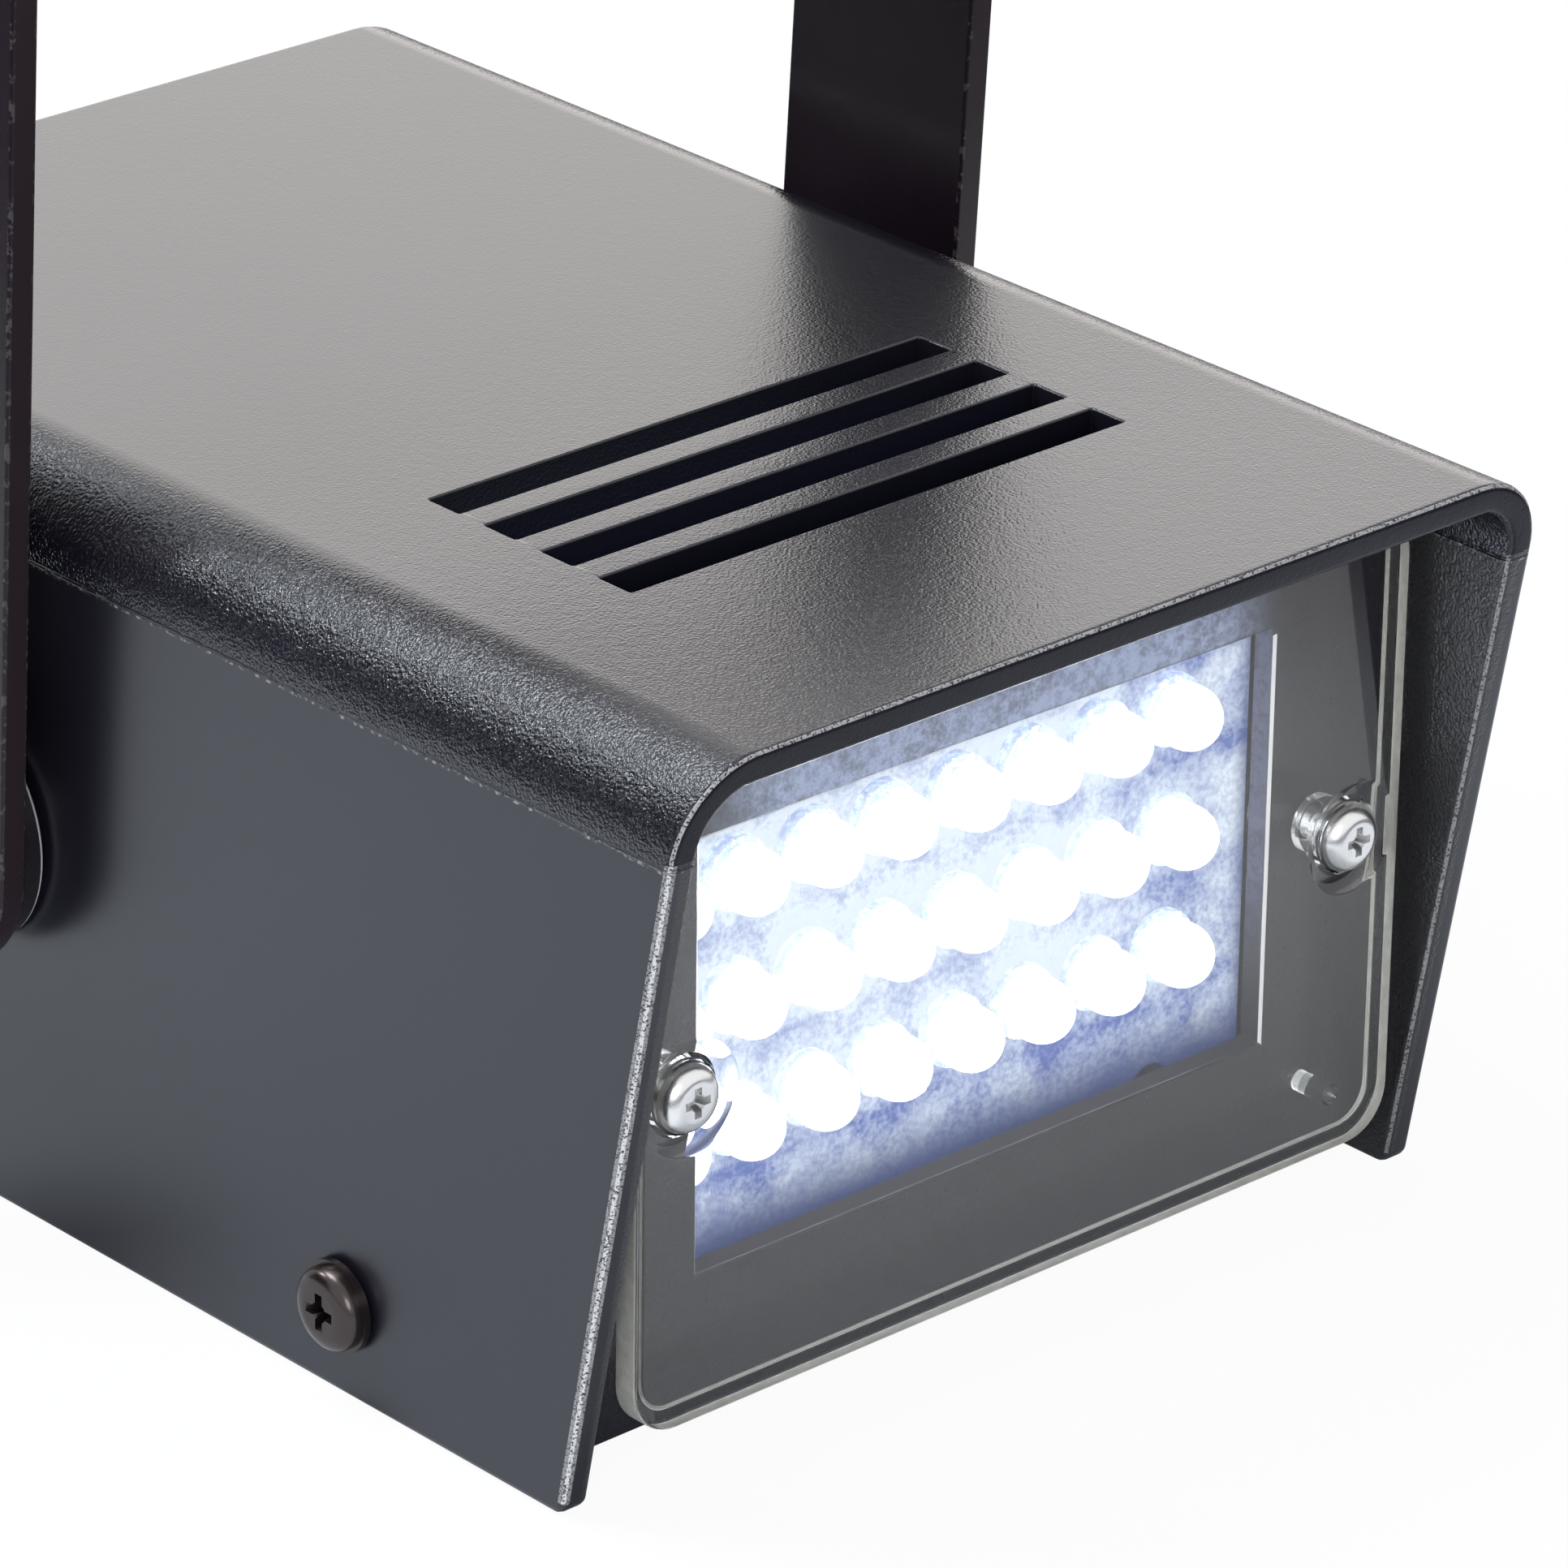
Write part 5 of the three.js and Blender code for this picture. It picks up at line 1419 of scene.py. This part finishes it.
class STROBE_OT_rate_control(bpy.types.Operator):
    """Builds the flash rate knob, its shaft, its nut and the potentiometer"""

    bl_idname = "strobe.rate_control"
    bl_label = "Rate control"
    bl_options = {"REGISTER", "UNDO"}

    def execute(self, context):
        axis = joint_place("rate_turn")
        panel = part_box("base_chassis")[1].y
        seat = (axis.x, panel, axis.z)
        knob = self.knob(panel)
        set_down(knob, seat, "rear")
        finish_piece(knob, "black_moulding", "rate_control", "speed_knob", worn_and_glinting=plain_edges)

        low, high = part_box("potentiometer_shaft")
        foot, end = low.y - panel, high.y - panel
        shaft = add_turned("potentiometer_shaft_plastic", [
            (2.4 * MM, foot), (2.6 * MM, foot + 0.3 * MM), (2.6 * MM, end - 0.4 * MM), (2.3 * MM, end),
        ], 40)
        combine(shaft, "DIFFERENCE", add_box("flat", (-4 * MM, 1.7 * MM, 5 * MM), (4 * MM, 4 * MM, end + PAST)))
        set_down(shaft, seat, "rear")
        finish_piece(shaft, "white_plastic", "rate_control", "potentiometer_shaft")

        low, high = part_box("potentiometer_nut")
        nut = add_nut(10 * MM, high.y - low.y, 3.65 * MM, 4 * MM, 36, 0.2 * MM)
        nut.name = "potentiometer_nut_steel"
        set_down(nut, (axis.x, low.y, axis.z), "rear")
        finish_piece(nut, "zinc_steel", "case", "potentiometer_nut")

        can = self.can(panel)
        set_down(can, seat, "rear")
        finish_piece(can, "zinc_steel", "case", "speed_potentiometer")
        settle()
        return {"FINISHED"}

    def knob(self, panel):
        """The fluted cap with its hollow and its white pointer, about Z from the panel."""
        low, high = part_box("speed_knob")
        foot, top = low.y - panel, high.y - panel - 0.5 * MM
        wide = (high.x - low.x) / 2
        knob = add_turned("speed_knob_cap", [
            (wide - 1.3 * MM, foot), (wide, foot), (wide, foot + 1.6 * MM), (wide - 1.1 * MM, top - 0.8 * MM),
            (wide - 1.9 * MM, top), (wide - 3.1 * MM, top), (wide - 3.5 * MM, top - 0.4 * MM),
            (1 * MM, top - 0.4 * MM), (0, top - 0.4 * MM),
        ], 80)
        flute(knob, 20, 0.5, wide - 0.45 * MM, 0.85 * MM, foot + 2.6 * MM, top + 2 * PAST, 20)
        drill(
            knob, ("z", wide - 1.3 * MM, foot - PAST, foot + 3.2 * MM, (0, 0), 48),
            ("z", SHAFT_HOLE, foot, top - 1.6 * MM, (0, 0), 32),
        )
        soften(knob, 0.2 * MM, 2, 40)
        knob.data.materials.append(material_for("black_moulding"))
        half = 0.6 * MM
        pointer = add_box("pointer", (-half, 1.2 * MM, top - 0.9 * MM), (half, wide - 1.95 * MM, top + 0.5 * MM))
        soften(pointer, 0.18 * MM)
        pointer.data.materials.append(material_for("pointer_paint"))
        take(knob)
        pointer.select_set(True)
        bpy.ops.object.join()
        return knob

    def can(self, panel):
        """The potentiometer's body with its bush and three lugs, about Z from the panel."""
        low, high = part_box("speed_potentiometer")
        back, front, bush = low.y - panel, -2.5 * MM, high.y - panel
        can = add_turned("speed_potentiometer_can", [
            (7.4 * MM, back), (8.2 * MM, back + 0.8 * MM), (8.2 * MM, front - 0.5 * MM), (7.7 * MM, front),
            (3.5 * MM, front), (3.5 * MM, bush - 0.4 * MM), (3.1 * MM, bush),
        ], 56)
        for x in (-5 * MM, 0, 5 * MM):
            low, high = (x - 0.8 * MM, -13.2 * MM, front - 3 * MM), (x + 0.8 * MM, -4.1 * MM, front - 2 * MM)
            combine(can, "UNION", add_box("lug", low, high))
        drill(can, ("z", SHAFT_HOLE, front - 6.3 * MM, bush + PAST, (0, 0), 36))
        soften(can, 0.15 * MM, 2, 50)
        return can


class STROBE_OT_inlet(bpy.types.Operator):
    """Builds the rubber grommet of the cord's inlet"""

    bl_idname = "strobe.inlet"
    bl_label = "Inlet grommet"
    bl_options = {"REGISTER", "UNDO"}

    def execute(self, context):
        low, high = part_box("inlet_grommet")
        at = middle("inlet_grommet")
        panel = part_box("base_chassis")[1].y
        inner, outer = low.y - panel, high.y - panel
        neck, bore = 5 * MM, 3.2 * MM
        flange = (high.x - low.x) / 2
        grommet = add_turned("inlet_grommet_rubber", [
            (bore + 0.3 * MM, inner), (neck - 0.2 * MM, inner), (neck + 0.9 * MM, inner + 1.2 * MM),
            (neck, inner + 1.2 * MM), (neck, 0.3 * MM), (flange, 0.3 * MM), (flange, outer - 0.8 * MM),
            (flange - 0.8 * MM, outer), (bore + 1.4 * MM, outer), (bore + 1.0 * MM, outer - 0.3 * MM),
            (bore + 0.3 * MM, outer - 0.3 * MM), (bore, outer - 0.7 * MM), (bore, inner + 0.4 * MM),
        ], 56, ring=True)
        soften(grommet, 0.15 * MM, 2, 25)
        set_down(grommet, (at.x, panel, at.z), "rear")
        finish_piece(grommet, "black_rubber", "case", "inlet_grommet", worn_and_glinting=plain_edges)
        settle()
        return {"FINISHED"}


class STROBE_OT_driver(bpy.types.Operator):
    """Paints the driver board, its components and their lead"""

    bl_idname = "strobe.driver"
    bl_label = "Driver board"
    bl_options = {"REGISTER", "UNDO"}

    def execute(self, context):
        slots = {
            "driver_board": "green_board", "fuse": "fuse_glass", "dropper_capacitor": "film_plastic",
            "bridge_rectifier": "black_moulding", "filter_capacitor": "capacitor_sleeve",
            "power_resistor": "resistor_body", "timer_chip": "black_moulding",
            "switching_transistor": "black_moulding", "lead_connector": "white_plastic", "led_lead": "lead_sleeve",
        }
        for node, slot in slots.items():
            paint_node(node, material_for(slot))
        settle()
        return {"FINISHED"}


OPERATORS = (
    STROBE_OT_stage,
    STROBE_OT_cover,
    STROBE_OT_chassis,
    STROBE_OT_lens,
    STROBE_OT_leds,
    STROBE_OT_screws,
    STROBE_OT_bracket,
    STROBE_OT_thumb_screws,
    STROBE_OT_rate_control,
    STROBE_OT_inlet,
    STROBE_OT_driver,
)


class STROBE_PT_panel(bpy.types.Panel):
    """Lists the build steps and the sizes and colours that they use"""

    bl_idname = "STROBE_PT_panel"
    bl_label = "Strobe light"
    bl_space_type = "VIEW_3D"
    bl_region_type = "UI"
    bl_category = "Strobe"

    def draw(self, context):
        for operator in OPERATORS:
            self.layout.operator(operator.bl_idname)
        for settings in (context.scene.strobe_sizes, context.scene.strobe_finish, context.scene.strobe_studio):
            column = self.layout.box().column()
            for key in settings.__annotations__:
                column.prop(settings, key)


CLASSES = (StrobeSizes, StrobeFinish, StrobeStudio, *OPERATORS, STROBE_PT_panel)


def register():
    for item in CLASSES:
        bpy.utils.register_class(item)
    bpy.types.Scene.strobe_sizes = PointerProperty(type=StrobeSizes)
    bpy.types.Scene.strobe_finish = PointerProperty(type=StrobeFinish)
    bpy.types.Scene.strobe_studio = PointerProperty(type=StrobeStudio)


def unregister():
    del bpy.types.Scene.strobe_studio
    del bpy.types.Scene.strobe_finish
    del bpy.types.Scene.strobe_sizes
    for item in reversed(CLASSES):
        bpy.utils.unregister_class(item)


def main():
    register()
    bpy.context.scene.view_settings.view_transform = "Standard"
    for operator in OPERATORS:
        getattr(bpy.ops.strobe, operator.bl_idname.split(".")[1])()


if __name__ == "__main__":
    main()
